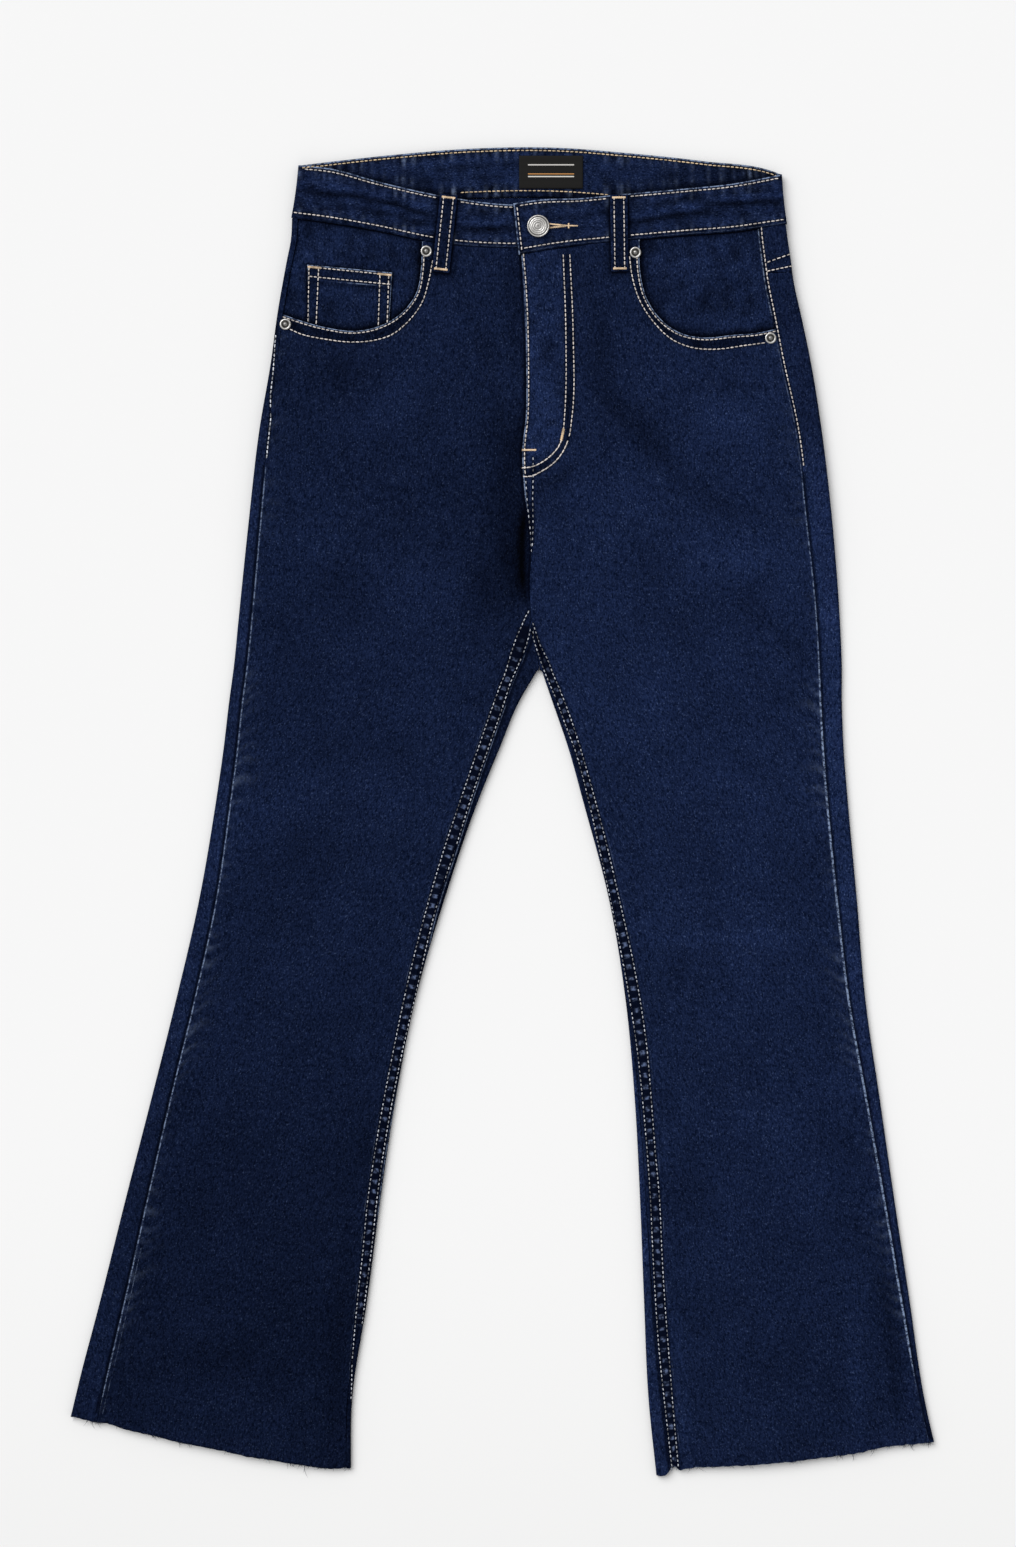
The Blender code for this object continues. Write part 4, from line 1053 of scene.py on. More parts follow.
def front_rows(side, x, y):
    """Distances from a front panel's rows: the inseam's two, the pocket's two and the others, among them
    the belt loop's outline and, on the right, the fly's edge, beside which the cloth is painted dark as
    shade.
    """
    rows = [off(x, y, line) for line in fell_rows(side) + pocket_rows(side)]
    if side == "left":
        rows += [off(x, y, line) for line in fly_rows()]
    # the belt loop's outline, beside which the cloth is painted dark as shade
    rows.append(off(x, y, loop_outline(side)))
    if side == "right":
        rows.append(off(x, y, outseam_row(side, 300.0)))
        # the fly's edge, beside which the right front is painted dark as shade
        rows.append(off(x, y, fly_line(430.0, 165.0, -0.8)))
    return rows


def front_worn(side, x, y):
    """Distances from a front panel's worn lines: the outseam, the pocket opening, the felled seam, the
    fly's edge or a second line at the outseam, and the hem."""
    hem = HEM[side]["outer"]
    start, near_hem = pick(side, (262.0, (-468.0, -500.0)), (360.0, (-400.0, -450.0)))
    fade = 0.05 + 0.2 * ramp(y, (240.0, 270.0)) + 0.4 * ramp(y, near_hem)
    worn = [fainter(off(x, y, seam_row(side, "outseam", -1.0, start, hem)), fade)]
    worn.append(off(x, y, beside(pocket_opening(side), 0.4 * outward(side))))
    edge = beside(fell_rows(side)[pick(side, 0, 1)], pick(side, -1.7, 2.0))
    worn.append(fainter(off(x, y, edge), 0.38 + 0.4 * ramp(y, (50.0, 130.0))))
    if side == "left":
        worn[0] = worn[0] - 0.42 * ramp(y, (130.0, 60.0)) * ramp(y, (-450.0, -390.0))
        edge = off(x, y, fly_line(ROWS_TOP, 150.0, 0.5))
        worn.append(fainter(edge, 0.65 * (1 - ramp(y, (222.0, 240.0)))))
    else:
        worn.append(fainter(off(x, y, seam_row(side, "outseam", -4.2, -330.0, hem)), 0.35))
    return worn + [fainter(off(x, y, np.array(HEM_LINE[side]) + (0.0, 0.4)), 0.35)]


def front_shade(side, x, y, crest, rows):
    """How light a front panel is: its tones, which are partly painted light; painted light on the ridges of
    its folds and puckers and painted shade in their troughs, the puckers' crests partly wear; dark between
    the rows of the pocket and the fly and in the felled seam; painted shadow beside the belt loop and under
    the fly's edge; and lighter and mottled on the placket."""
    # painted light on the ridges of the folds and puckers and painted shade in their troughs; the puckers'
    # crests are partly wear
    shade = shading(side, x, y) * (1 + 0.16 * fold_relief(side, x, y)) * (1 + 0.16 * crest)
    shade *= 1 - between(rows[2], rows[3]) * (0.55 - 0.25 * beats(x * 0.8 + y * 0.6, 9.0, 15))
    if side == "left":
        shade *= 1 - 0.62 * between(rows[5], rows[6])
        placket = ramp(x - fly_x(y), (0.5, 2.5)) * (1 - ramp(x, (46.0, 48.5))) * ramp(y, (262.0, 268.0))
        shade *= 1 + placket * (0.36 + 0.4 * wander(x, y, 14.0, 16) + 0.34 * wander(x, y, 6.0, 17))
    else:
        # painted shadow of the left front's edge on the right front, beside the fly
        shade *= 1 - 0.6 * np.exp(-np.maximum(0, fly_x(y) - x) / 4.5) * ramp(y, (236.0, 262.0))
    # painted shadow beside the belt loop
    shade *= loop_shadow(side, x, y)
    shade *= 1 - felled_band(side, x, y)[2] * (0.2 + 0.45 * ramp(y, (-70.0, 130.0)))
    return np.clip(shade, 0.05, 2.4)


def front_panel(side):
    """A front panel. Its weave hangs from the middle of each row, so that it turns with the leg."""
    grid = front_grid(side)
    made = grid_cloth(f"front_panel_{side}", grid, [f"cloth_back_panel_{side}"])
    x, y, z = grid.reshape(-1, 3).T
    middle = np.repeat((grid[:, :1, 0] + grid[:, -1:, 0]) / 2, grid.shape[1], axis=1).ravel()
    rows, crest = front_rows(side, x, y), outseam_puckers(side, x, y)[1]
    shade, wear = front_shade(side, x, y, crest, rows), np.clip(crest, 0, 1) * 0.14
    dress(made, grid, shade, wear, rows, front_worn(side, x, y), np.column_stack([x - middle, y, z]))
    fell_place(made, side, x, y)


def fell_place(made, side, x, y, here=1.0):
    """Gives a leg piece its place in the felled inner-leg seam."""
    share, travel, inside = felled_band(side, x, y)
    store(made, "felled", np.column_stack([share, travel, inside * here]))


def between(first, second):
    """1 between two lines and 0 outside them, from the signed distances."""
    inside = np.where(np.sign(first) != np.sign(second), np.minimum(np.abs(first), np.abs(second)), 0)
    near = (np.abs(first) + np.abs(second)) < 16
    return ramp(inside, (0.3, 1.6)) * near


# ------------ waistband
def band_section(x, table, slant, height, creased):
    """Points of the waistband at x: from its lower to its top edge, pillowed between the stitch rows,
    with the long creases."""
    low, high = band_edges(table, x)
    share = np.linspace(0, 1, BAND_ROWS)[:, None]
    flare = BAND_FLARE * (1 - share) ** 2 * (ramp(x, (185.0, 212.0)) - 1 + ramp(x, (-158.0, -130.0)))
    points = np.stack([x - slant * share + flare, mix(low, high, share), height + 0 * share], axis=2)
    if creased:
        edge_dip = 0.35 * (bell(share, 0.09) + bell(1 - share, 0.07))
        points[:, :, 2] += band_relief(creased, x, share)[0] - edge_dip
    return points


def band_relief(side, x, share):
    """(height, depth of the creases alone) of the waistband's creases and puckers; band_look turns the depth
    into painted shade and painted light.
    """
    total = np.zeros(np.broadcast(x, share).shape)
    for panel, start, end, at, depth in BAND_CREASES:
        if panel == side:
            along = ramp(x, (start - 12, start + 14)) * (1 - ramp(x, (end - 14, end + 12)))
            total -= depth * along * bell(share - (at + 0.05 * np.sin(x / 19.0)), 0.075)
    puckers = beats(x + 3.0 * share, BAND_PITCH, pick(side, 41, 42))
    edges = bell(share - 0.1, 0.22) + bell(share - 0.9, 0.2)
    long_waves = 0.25 * wander(x, 0 * x + 12 * share, 22.0, 44) * np.sin(math.pi * share)
    return total + (0.22 * puckers + long_waves) * edges, total


def band_edges(table, x):
    """The waistband's lower and top level at x."""
    return np.array([smooth(table, x, 2), smooth(table, x, 1)])


def band_front(side):
    """The edges of the front waistband on one side."""
    return pick(side, BAND_RIGHT, BAND_LEFT)


def band_roll(foot, sign, radius, low, steps):
    """The waistband round a side fold, between the levels of its back and front at that side."""
    side = "left" if sign > 0 else "right"
    share = np.linspace(0, 1, BAND_ROWS)
    columns = []
    for step in steps:
        angle = math.pi * step / ROLL_STEPS
        ends = mix(band_edges(BAND_BACK, foot), band_edges(band_front(side), foot), step / ROLL_STEPS)
        x = foot + sign * radius * math.sin(angle) - BAND_SLANT[side] * share
        x = x + sign * BAND_FLARE * (1 - share) ** 2
        z = np.full(BAND_ROWS, low + radius * (1 - math.cos(angle)))
        columns.append(np.stack([x, mix(*ends, share), z], axis=1))
    return np.stack(columns, axis=1)


def band_parts(bottom, top):
    """The waistband's five grids: the tab with the left front, the left fold, the back, the right fold
    and the right front with the end under the tab. bottom and top are its heights at back and front."""
    radius = (top - bottom) / 2
    inset = radius + BAND_WALL / 2
    right, left = BAND_BACK[0][0] + inset, BAND_BACK[-1][0] - inset
    tab_x = np.linspace(TAB_END, left, int((left - TAB_END) / BAND_STEP))
    tab_z = top + TAB_LIFT * (1 - ramp(tab_x, TAB_RAMP))
    slant = TAB_SLANT * (1 - ramp(tab_x, SLANT_RAMPS["tab"]))
    slant += BAND_SLANT["left"] * ramp(tab_x, SLANT_RAMPS["left"])
    back_x = np.linspace(left, right, BAND_BACK_COLUMNS)
    back_slant = mix(BAND_SLANT["right"], BAND_SLANT["left"], (back_x - right) / (left - right))
    under_x = np.linspace(right, UNDERLAP_END, int((UNDERLAP_END - right) / BAND_STEP))
    under_slant = BAND_SLANT["right"] * (1 - ramp(under_x, SLANT_RAMPS["right"]))
    return (
        band_section(tab_x, BAND_LEFT, slant, tab_z, "left"),
        band_roll(left, 1.0, radius, bottom, range(ROLL_STEPS - 1, 0, -1)),
        band_section(back_x, BAND_BACK, back_slant, bottom + 0 * back_x, None),
        band_roll(right, -1.0, radius, bottom, range(1, ROLL_STEPS)),
        band_section(under_x, BAND_RIGHT, under_slant, top + 0 * under_x, "right"),
    )


def band_look(part, x, y, across):
    """(shade, wear) of the waistband: painted shade in the creases and painted light beside them, streaked
    with wear across its two rows, cloudy, and painted shade at its edges, beside the belt loops and, inside
    the back, down behind the front band; inside the back it darkens towards its left end, and outside the
    back it is a little lighter. part is the number of the grid, across the share of the way up."""
    shade, inside = np.ones(len(x)), part == BACK_PART
    for number, side in ((0, "left"), (4, "right")):
        here = part == number
        # painted shade in the creases, and painted light just beside them
        shade[here] += 0.75 * np.clip(band_relief(side, x, across)[1][here], -1.1, 0)
        shade[here] += 0.5 * np.clip(-band_relief(side, x, across - 0.13)[1][here], 0, 1)
    streak = 0.6 * beats(x, BAND_PITCH, 43) + 0.5 * beats(x, 6.2, 47)
    ends = np.exp(-((np.abs(across - 0.5) / 0.5 - 0.72) ** 2) / 0.04)
    front_top = np.where(x < 20, smooth(BAND_RIGHT, x, 1), smooth(BAND_LEFT, x, 1))
    ends += 0.8 * inside * bell(y - front_top - 6.0, 3.0)
    shade *= 1 + np.where(inside, 0.75, 0.62) * streak * ends
    shade *= 1 + 0.34 * wander(x, 3 * y, 18.0, 45) + 0.28 * wander(x, y, 7.0, 46)
    shade[inside] *= (1.25 - 0.5 * ramp(x, (90.0, 200.0)))[inside]
    # painted shadow of the front band on the inside of the back
    shade[inside] *= (1 - 0.75 * np.exp(-((np.maximum(0, y - front_top - 0.5) / 5.5) ** 1.3)))[inside]
    # painted shade along the band's lower and top edges
    shade *= 1 - 0.45 * (bell(across, 0.05) + 0.3 * bell(1 - across, 0.05))
    shade[~inside] *= 1.12
    for side in ("right", "left"):
        shade *= np.where(np.isin(part, (0, 4)), loop_shadow(side, x, y), 1.0)
    return np.clip(shade, 0.25, 2), np.where(inside, 0.36, 0.24) * np.clip(streak, 0, 1) ** 2 * ends


def band_lines(part, x, y, across):
    """(distances from the rows and from what shades the cloth beside it, distances from the worn
    edges) of the waistband."""
    tab, under = part == 0, part == 4
    from_end = x + TAB_SLANT * across - TAB_END
    rows = [(across - BAND_TOP_ROW) * BAND_DEPTH, (across - BAND_LOW_ROW) * BAND_DEPTH]
    rows.append(np.where(tab, from_end - 3.0, FAR))
    rows += [np.where(tab | under, off(x, y, loop_outline(side)), FAR) for side in ("right", "left")]
    rows.append(np.where(under, np.abs(from_end + 0.4), FAR))
    worn = [(across - 0.985) * BAND_DEPTH, np.where(tab, from_end - 0.6, FAR)]
    low_edge = fainter((across - 0.03) * BAND_DEPTH, 0.12 + 0.4 * (x < -45.0))
    return rows, worn + [np.where(part == BACK_PART, FAR, low_edge)]


def waistband():
    """One band, open at the front: from the tab's end, round the left side, along the back, round the
    right side, and on to the end that lies under the tab. Its weave runs along the band, and its shade
    isn't used under the height shaded_above, so that the back's outer side stays plain."""
    bottom = SEAT_BOTTOM + (BAND_WALL - CLOTH) / 2
    parts = band_parts(bottom, HIP_TOP - (BAND_WALL - CLOTH) / 2)
    grid = np.concatenate(parts, axis=1)
    made = grid_cloth("waistband", grid, judged=parts[0], wall=BAND_SHELL)
    counts = [part.shape[1] for part in parts]
    x, y, z = grid.reshape(-1, 3).T
    part = np.tile(np.repeat(np.arange(len(parts)), counts), BAND_ROWS)
    across = np.repeat(np.linspace(0, 1, BAND_ROWS), grid.shape[1])
    along = np.tile(travelled(grid[BAND_ROWS // 2]), BAND_ROWS)
    shade, wear = band_look(part, x, y, across)
    dress(made, grid, shade, wear, *band_lines(part, x, y, across), np.column_stack([y, along, z]))
    store(made, "shaded_above", np.where(part == BACK_PART, bottom, 0.0))
    BAND_GRIDS.extend(parts)


def band_row(share, part, margin=(0, 0)):
    """A line along one part of the waistband, at a share of the way up it. A negative margin goes on
    into the part beside it."""
    before = sum(grid.shape[1] for grid in BAND_GRIDS[:part])
    points = np.concatenate(BAND_GRIDS, axis=1)
    at = share * (BAND_ROWS - 1)
    low = int(at)
    line = mix(points[low], points[min(low + 1, BAND_ROWS - 1)], at - low)
    return line[before + margin[0] : before + BAND_GRIDS[part].shape[1] - margin[1], :2]


# ------------ what lies on or under the panels
def facing_height(side, x, level):
    """Height of a pocket facing: a layer below the front, and one more under the coin pocket."""
    height = top_height(level) - LAYER
    if side == "left":
        return height
    from_seam = x - leg_line(side, "outseam", level)
    from_band = smooth(BAND_RIGHT, x, 2) - level
    return height - LAYER * ramp(from_seam, COIN_DEPTH_RAMP) * ramp(from_band, COIN_DEPTH_RAMP)


def under_opening(x, y, side, width):
    """How the front panel shades what lies in its pocket opening."""
    distance = np.abs(off(x, y, pocket_opening(side)))
    return 1 - 0.75 * bell(distance, width) - 0.2 * bell(distance, 11.0)


def pocket_facing(side):
    """The denim that shows in a pocket opening, from the outseam and the waistband to under the front
    panel. Its outer end slants with the outseam, so x and y settle together in a few turns."""
    band = band_front(side)
    inner = POCKET_EDGE[side][-1][0] - outward(side) * FACING_REACH
    across = np.linspace(0, 1, 56)
    rows = []
    for share in np.linspace(0, 1, 44):
        low = smooth(FACING_EDGE[side], across)
        x = mix(leg_line(side, "outseam", low), inner, across)
        for _ in range(3):
            y = mix(low, smooth(band, x, 2) - GAP, share)
            x = mix(seam_points(side, "outseam", y, -GAP / 2)[:, 0], inner, across)
        rows.append(np.column_stack([x, y, facing_height(side, x, y)]))
    grid = np.array(rows)
    made = grid_cloth(f"pocket_facing_{side}", grid, [f"cloth_back_panel_{side}"])
    x, y, _ = grid.reshape(-1, 3).T
    below_band = smooth(band, x, 2) - y
    shade = 1.1 + 0.36 * wander(x, y, 22.0, 51) + 0.36 * wander(x, y, 8.0, 50)
    # painted shadow of the front panel's edge along the pocket opening
    shade *= under_opening(x, y, side, 3.6)
    # painted shadow under the waistband's lower edge
    shade *= 1 - 0.45 * bell(below_band, 3.0)
    # the opening, the waistband's edge and the coin pocket's edge go in as rows, so that the facing is
    # painted dark beside them as shade
    dark, worn = [off(x, y, pocket_opening(side)), below_band], []
    if side == "right":
        dark.append(off(x, y, COIN_EDGE))
        # painted shadow round the coin pocket
        shade *= 1 - 0.6 * bell(dark[-1], 1.9)
    else:
        worn.append(off(x, y, seam_row(side, "outseam", -1.0, 450.0, 376.0)))
    dress(made, grid, np.clip(shade, 0.1, 2), 0.0, dark, worn)


def coin_pocket():
    """The small pocket on the right facing, made from the facing's points and moved out."""
    across, rows = np.linspace(0, 1, 34), []
    for share in np.linspace(0, 1, 34):
        y = mix(COIN_POCKET["low"], mix(*COIN_POCKET["top"], across), share)
        x = mix(mix(*COIN_POCKET["x_low"], across), mix(*COIN_POCKET["x_top"], across), share)
        rows.append(np.column_stack([x, y, facing_height("right", x, y) + LAYER]))
    grid = np.array(rows)
    made = grid_cloth("coin_pocket", grid, ["cloth_pocket_facing_right"])
    x, y, _ = grid.reshape(-1, 3).T
    rows = [off(x, y, line) for line in COIN_ROWS]
    second = np.array(COIN_ROWS[1])
    worn = [off(x, y, COIN_EDGE), fainter(off(x, y, np.array(COIN_EDGE[:2]) + (1.1, 0.0)), 0.15)]
    worn.append(fainter(off(x, y, second - (0.0, 1.9)), 0.15))
    shade = 1.15 + 0.26 * wander(x, y, 12.0, 53) + 0.16 * wander(x, y, 5.0, 52)
    # painted shadow under the fold of the second hem row
    shade *= 1 - 0.5 * bell(off(x, y, second - (0.0, 4.0)), 1.5)
    # painted shadow of the front panel's edge along the pocket opening
    shade *= under_opening(x, y, "right", 3.8)
    shade *= 1 - 0.25 * (between(rows[2], rows[3]) + between(rows[4], rows[5]) + between(rows[0], rows[1]))
    # the pocket opening goes in as a row, so that the pocket is painted dark beside it as shade
    rows.append(off(x, y, pocket_opening("right")))
    dress(made, grid, np.clip(shade, 0.1, 2), 0.0, rows, worn)


COIN_EDGE = ((-147.6, 352.0), (-148.0, 415.2), (-83.5, 409.2), (-87.0, 352.0))
# the coin pocket's rows: top, second hem row, left outer, left inner, right inner, right outer
COIN_ROWS = (
    ((-146.5, 413.8), (-84.5, 407.6)),
    ((-147, 406.6), (-84.5, 400.5)),
    ((-146.6, 414), (-147.4, 372)),
    ((-139.3, 413.4), (-141.2, 370)),
    ((-92.7, 408.2), (-94, 369)),
    ((-86, 407.6), (-87.2, 370.5)),
)


def back_pocket(side):
    """A plain patch pocket with a pointed foot, a layer below the back panel."""
    size = BACK_POCKET
    across = np.linspace(-1, 1, 49)
    foot = mix(size["point"], size["side"], np.abs(across))
    rows = []
    for share in np.linspace(0, 1, 45):
        y = mix(foot, size["top"], share)
        x = BACK_POCKET_CENTRE[side] + across * mix(size["half_low"], size["half_top"], share)
        rows.append(np.column_stack([x, y, bottom_height(y) - LAYER]))
    grid = np.array(rows)
    made = grid_cloth(f"back_pocket_{side}", grid, up=False)
    x, y, _ = grid.reshape(-1, 3).T
    rows = [off(x, y, line) for line in back_pocket_rows(side)]
    dress(made, grid, 1.0 + 0.1 * wander(x, y, 30.0, 54), 0.0, rows)


def back_pocket_rows(side):
    """Two rows round the sides and the foot, and two along the top."""
    size, middle = BACK_POCKET, BACK_POCKET_CENTRE[side]
    rows = []
    for inset in (1.6, 8.0):
        low, top = size["half_low"] - inset, size["half_top"] - inset
        corners = ((-top, size["top"]), (-low, size["side"] + inset * 0.7), (0.0, size["point"] + inset))
        corners += tuple((-across, level) for across, level in corners[1::-1])
        rows.append(np.array([(middle + across, level) for across, level in corners]))
    for inset in (1.6, 12.0):
        rows.append(np.array([(middle - 72.0, size["top"] - inset), (middle + 72.0, size["top"] - inset)]))
    return rows


def loop_frame(top, low):
    """(direction along a belt loop, direction across it)."""
    along = (np.array(top) - np.array(low)) / np.linalg.norm(np.array(top) - np.array(low))
    return along, np.array([along[1], -along[0]])


def belt_loop(name, top, low, on_front):
    """A belt loop: a strip laid from the waistband's top edge to just below it."""
    share = np.linspace(0, 1, 32)
    middle = mix(np.array(low), np.array(top), share[:, None])
    across = loop_frame(top, low)[1]
    if on_front:
        height = HIP_TOP + LAYER + LOOP_ARCH * np.sin(share * math.pi) ** 2
    else:
        height = np.full_like(share, SEAT_BOTTOM - LAYER)
    edges = []
    for side in np.linspace(-1, 1, 15):
        ripple = 0.12 * beats(share * 60.0 + 2 * side, 6.5, 55) * on_front
        z = height - LOOP_DROOP * abs(side) ** 6 + ripple
        edges.append(np.column_stack([middle + side * across * LOOP_WIDTH / 2, z]))
    grid = np.stack(edges, axis=1)
    made = grid_cloth(name, grid, ["cloth_waistband"], up=on_front)
    x, y, z = grid.reshape(-1, 3).T
    rows = [off(x, y, row) for row in loop_rows(top, low)]
    worn = [fainter(off(x, y, np.array([low, top]) + across * side), 0.3) for side in (-6.0, 6.0)]
    crease = bell(off(x, y, (low, top)), 2.6)
    dress(made, grid, (1.0 + 0.25 * beats(y, 7.0, 56)) * (1 - 0.45 * crease), 0.0, rows, worn)


def loop_outline(side):
    """The outline of the belt loop on one side of the front."""
    _, top, low, _ = next(row for row in BELT_LOOPS if row[0] == f"belt_loop_front_{side}")
    along, across = loop_frame(top, low)
    reach = across * (LOOP_WIDTH / 2 + 0.4)
    top, low = np.array(top) + along * 0.3, np.array(low) - along * 0.6
    return np.array([top - reach, low - reach, low + reach, top + reach])


def loop_shadow(side, x, y):
    """How dark the cloth is beside a front belt loop."""
    return 1 - 0.5 * bell(from_path(x, y, loop_outline(side), 1.0)[0], 3.6)


def around_loops(path, on_front):
    """The stretches of a line that no belt loop covers."""
    covered = np.zeros(len(path), bool)
    for _, top, low, front in BELT_LOOPS:
        if front == on_front:
            middle = mix(low[0], top[0], (path[:, 1] - low[1]) / (top[1] - low[1]))
            covered |= np.abs(path[:, 0] - middle) < LOOP_WIDTH / 2 + 0.6
    cuts = np.flatnonzero(np.diff(covered)) + 1
    parts = zip(np.split(path, cuts), np.split(covered, cuts))
    return [part for part, hidden in parts if not hidden[0] and len(part) > 1]


def loop_rows(top, low):
    along, across = loop_frame(top, low)
    places = [across * side for side in (-3.7, 3.7)]
    return [np.array([np.array(low) + place + along, np.array(top) + place - along]) for place in places]


def plate_points(size, columns, rows):
    x, y = np.meshgrid(np.linspace(*size["x"], columns), np.linspace(*size["level"], rows))
    return np.dstack([x, y, np.full_like(x, size["height"])])


def label():
    """The woven label inside the back of the waistband."""
    grid_cloth(
        "waist_label", plate_points(LABEL, 41, 23), ["cloth_waistband"],
        finish="label", wall=LABEL["wall"] * 0.7,
    )


def fly_shield():
    grid = plate_points(FLY_SHIELD, 20, 60)
    grid[:, :, 2] += 0.1 * wander(grid[:, :, 0], grid[:, :, 1], 20.0, 57)
    dress(grid_cloth("fly_shield", grid, ["cloth_back_panel_right"], wall=0.9), grid)


def fly_zip():
    grid_cloth("fly_zip", plate_points(ZIP, 10, 60), ["cloth_fly_shield"], finish="tape", wall=0.6)


# ------------ metal
def turned(node, profile, radius, centre, steps):
    """A round pewter piece: a profile of (share of the radius, height, darkness), from the axis below to
    the axis on top, turned about +Z."""
    share, height, dark = np.array(profile).T[:, :, None]
    angles = np.arange(steps) * 2 * math.pi / steps
    x = centre[0] + share * radius * np.cos(angles)
    y = centre[1] + share * radius * np.sin(angles)
    points = np.stack([x, y, centre[2] + np.repeat(height, steps, axis=1)], axis=2)
    index = grid_index(points)
    faces = grid_faces(np.concatenate([index, index[:, :1]], axis=1))
    made = mesh_object(f"pewter_{node}", points.reshape(-1, 3), faces, FINISH["pewter"])
    store(made, "groove", np.repeat(dark, steps))
    weld = made.modifiers.new("poles", "WELD")
    weld.merge_threshold = 1e-6
    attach(made, "root")
    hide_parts(node)


# the metal's profiles: share of the radius, height, and how dark the metal is there
BUTTON_FACE = (
    (0, 0, 1), (0.4, 0, 1), (0.4, 0.8, 1), (0.93, 0.9, 0.8), (0.99, 1.3, 0.5), (1, 1.8, 0.3),
    (0.98, 2.4, 0), (0.93, 2.65, 0), (0.88, 2.6, 0), (0.85, 2.3, 0.9), (0.82, 2.15, 1),
    (0.79, 2.2, 0.6), (0.75, 2.4, 0.05), (0.68, 2.42, 0.05), (0.65, 2.3, 0.5), (0.62, 2.3, 0.5),
    (0.59, 2.4, 0.05), (0.51, 2.4, 0.05), (0.48, 2.28, 0.5), (0.45, 2.28, 0.5), (0.42, 2.38, 0.1),
    (0.34, 2.38, 0.1), (0.31, 2.25, 0.55), (0.27, 2.25, 0.55), (0.22, 2.36, 0.2), (0.12, 2.36, 0.3),
    (0, 2.3, 0.8),
)
RIVET_FACE = (
    (0, 0, 1), (0.98, 0, 1), (1, 0.3, 0.6), (0.93, 0.85, 0), (0.8, 1, 0), (0.7, 0.85, 0.4),
    (0.62, 0.6, 1), (0.46, 0.55, 1), (0.38, 0.85, 0.9), (0.3, 1.3, 0.55), (0.15, 1.5, 0.5),
    (0, 1.55, 0.8),
)


def button():
    base = HIP_TOP - (BAND_WALL - CLOTH) / 2 + TAB_LIFT + BAND_WALL / 2 + GAP
    turned("button", BUTTON_FACE, BUTTON_RADIUS, (*BUTTON_AT, base), 48)


def rivet(name, x, level, cloths):
    """A rivet, standing on the cloth that lies under it."""
    height = cloths.heights(np.array([[x, level]]))[0][0]
    turned(name, RIVET_FACE, RIVET_RADIUS, (x, level, height + 0.05), 28)


# ------------ stitches
def evenly(path, step):
    """Points along a path a step apart, and the directions there."""
    length = travelled(path)
    count = max(1, int(length[-1] / step))
    at = (np.arange(count) + 0.5) * length[-1] / count
    places, ahead, behind = (
        np.stack([np.interp(at + shift, length, path[:, k]) for k in (0, 1)], axis=1)
        for shift in (0.0, 0.4, -0.4)
    )
    return places, unit(ahead - behind)


def capsule(sides=6):
    """One stitch of unit length and width along X: four rings and two poles. Returns points and
    triangles."""
    stations = np.array([-0.46, -0.25, 0.25, 0.46])
    widths = np.array([0.62, 1.0, 1.0, 0.62]) / 2
    angle = np.arange(sides) * 2 * math.pi / sides
    x = np.repeat(stations[:, None], sides, axis=1)
    rings = np.stack([x, widths[:, None] * np.cos(angle), widths[:, None] * np.sin(angle)], axis=2)
    points = np.concatenate([rings.reshape(-1, 3), [(-0.52, 0, 0), (0.52, 0, 0)]])
    index = np.arange(4 * sides).reshape(4, sides)
    wrapped = np.concatenate([index, index[:, :1]], axis=1)
    quads = grid_faces(wrapped)
    low, high = (np.full(sides, 4 * sides + pole) for pole in (0, 1))
    triangles = [quads[:, [0, 3, 2]], quads[:, [0, 2, 1]]]
    triangles.append(np.column_stack([low, wrapped[0, :-1], wrapped[0, 1:]]))
    triangles.append(np.column_stack([high, wrapped[-1, 1:], wrapped[-1, :-1]]))
    return points, np.concatenate(triangles)


class Cloths:
    """The outer surfaces of all the cloth, for laying stitches on."""

    def __init__(self, pieces):
        graph = bpy.context.evaluated_depsgraph_get()
        points, faces, first = [], [], 0
        for piece in pieces:
            mesh = piece.evaluated_get(graph).to_mesh()
            co = np.empty(len(mesh.vertices) * 3, np.float32)
            mesh.vertices.foreach_get("co", co)
            mesh.calc_loop_triangles()
            index = np.empty(len(mesh.loop_triangles) * 3, np.int32)
            mesh.loop_triangles.foreach_get("vertices", index)
            points.append(co.reshape(-1, 3))
            faces.append(index.reshape(-1, 3) + first)
            first += len(mesh.vertices)
        self.tree = BVHTree.FromPolygons(np.concatenate(points).tolist(), np.concatenate(faces).tolist())

    def heights(self, places, below=False):
        """Heights and normals, in millimetres, of the top of the cloth, or of its underside."""
        down = Vector((0.0, 0.0, 1.0 if below else -1.0))
        start = -0.05 if below else 0.05
        found = []
        for x, y in places * MM:
            hit, normal, _, _ = self.tree.ray_cast(Vector((x, y, start)), down)
            if hit is None:
                found.append((0.0, 0.0, -down.z, np.nan))
            else:
                found.append((*(normal if normal.dot(down) < 0 else -normal), hit.z / MM))
        found = np.array(found)
        return found[:, 3], found[:, :3]


def unit(vectors):
    return vectors / np.linalg.norm(vectors, axis=1, keepdims=True)


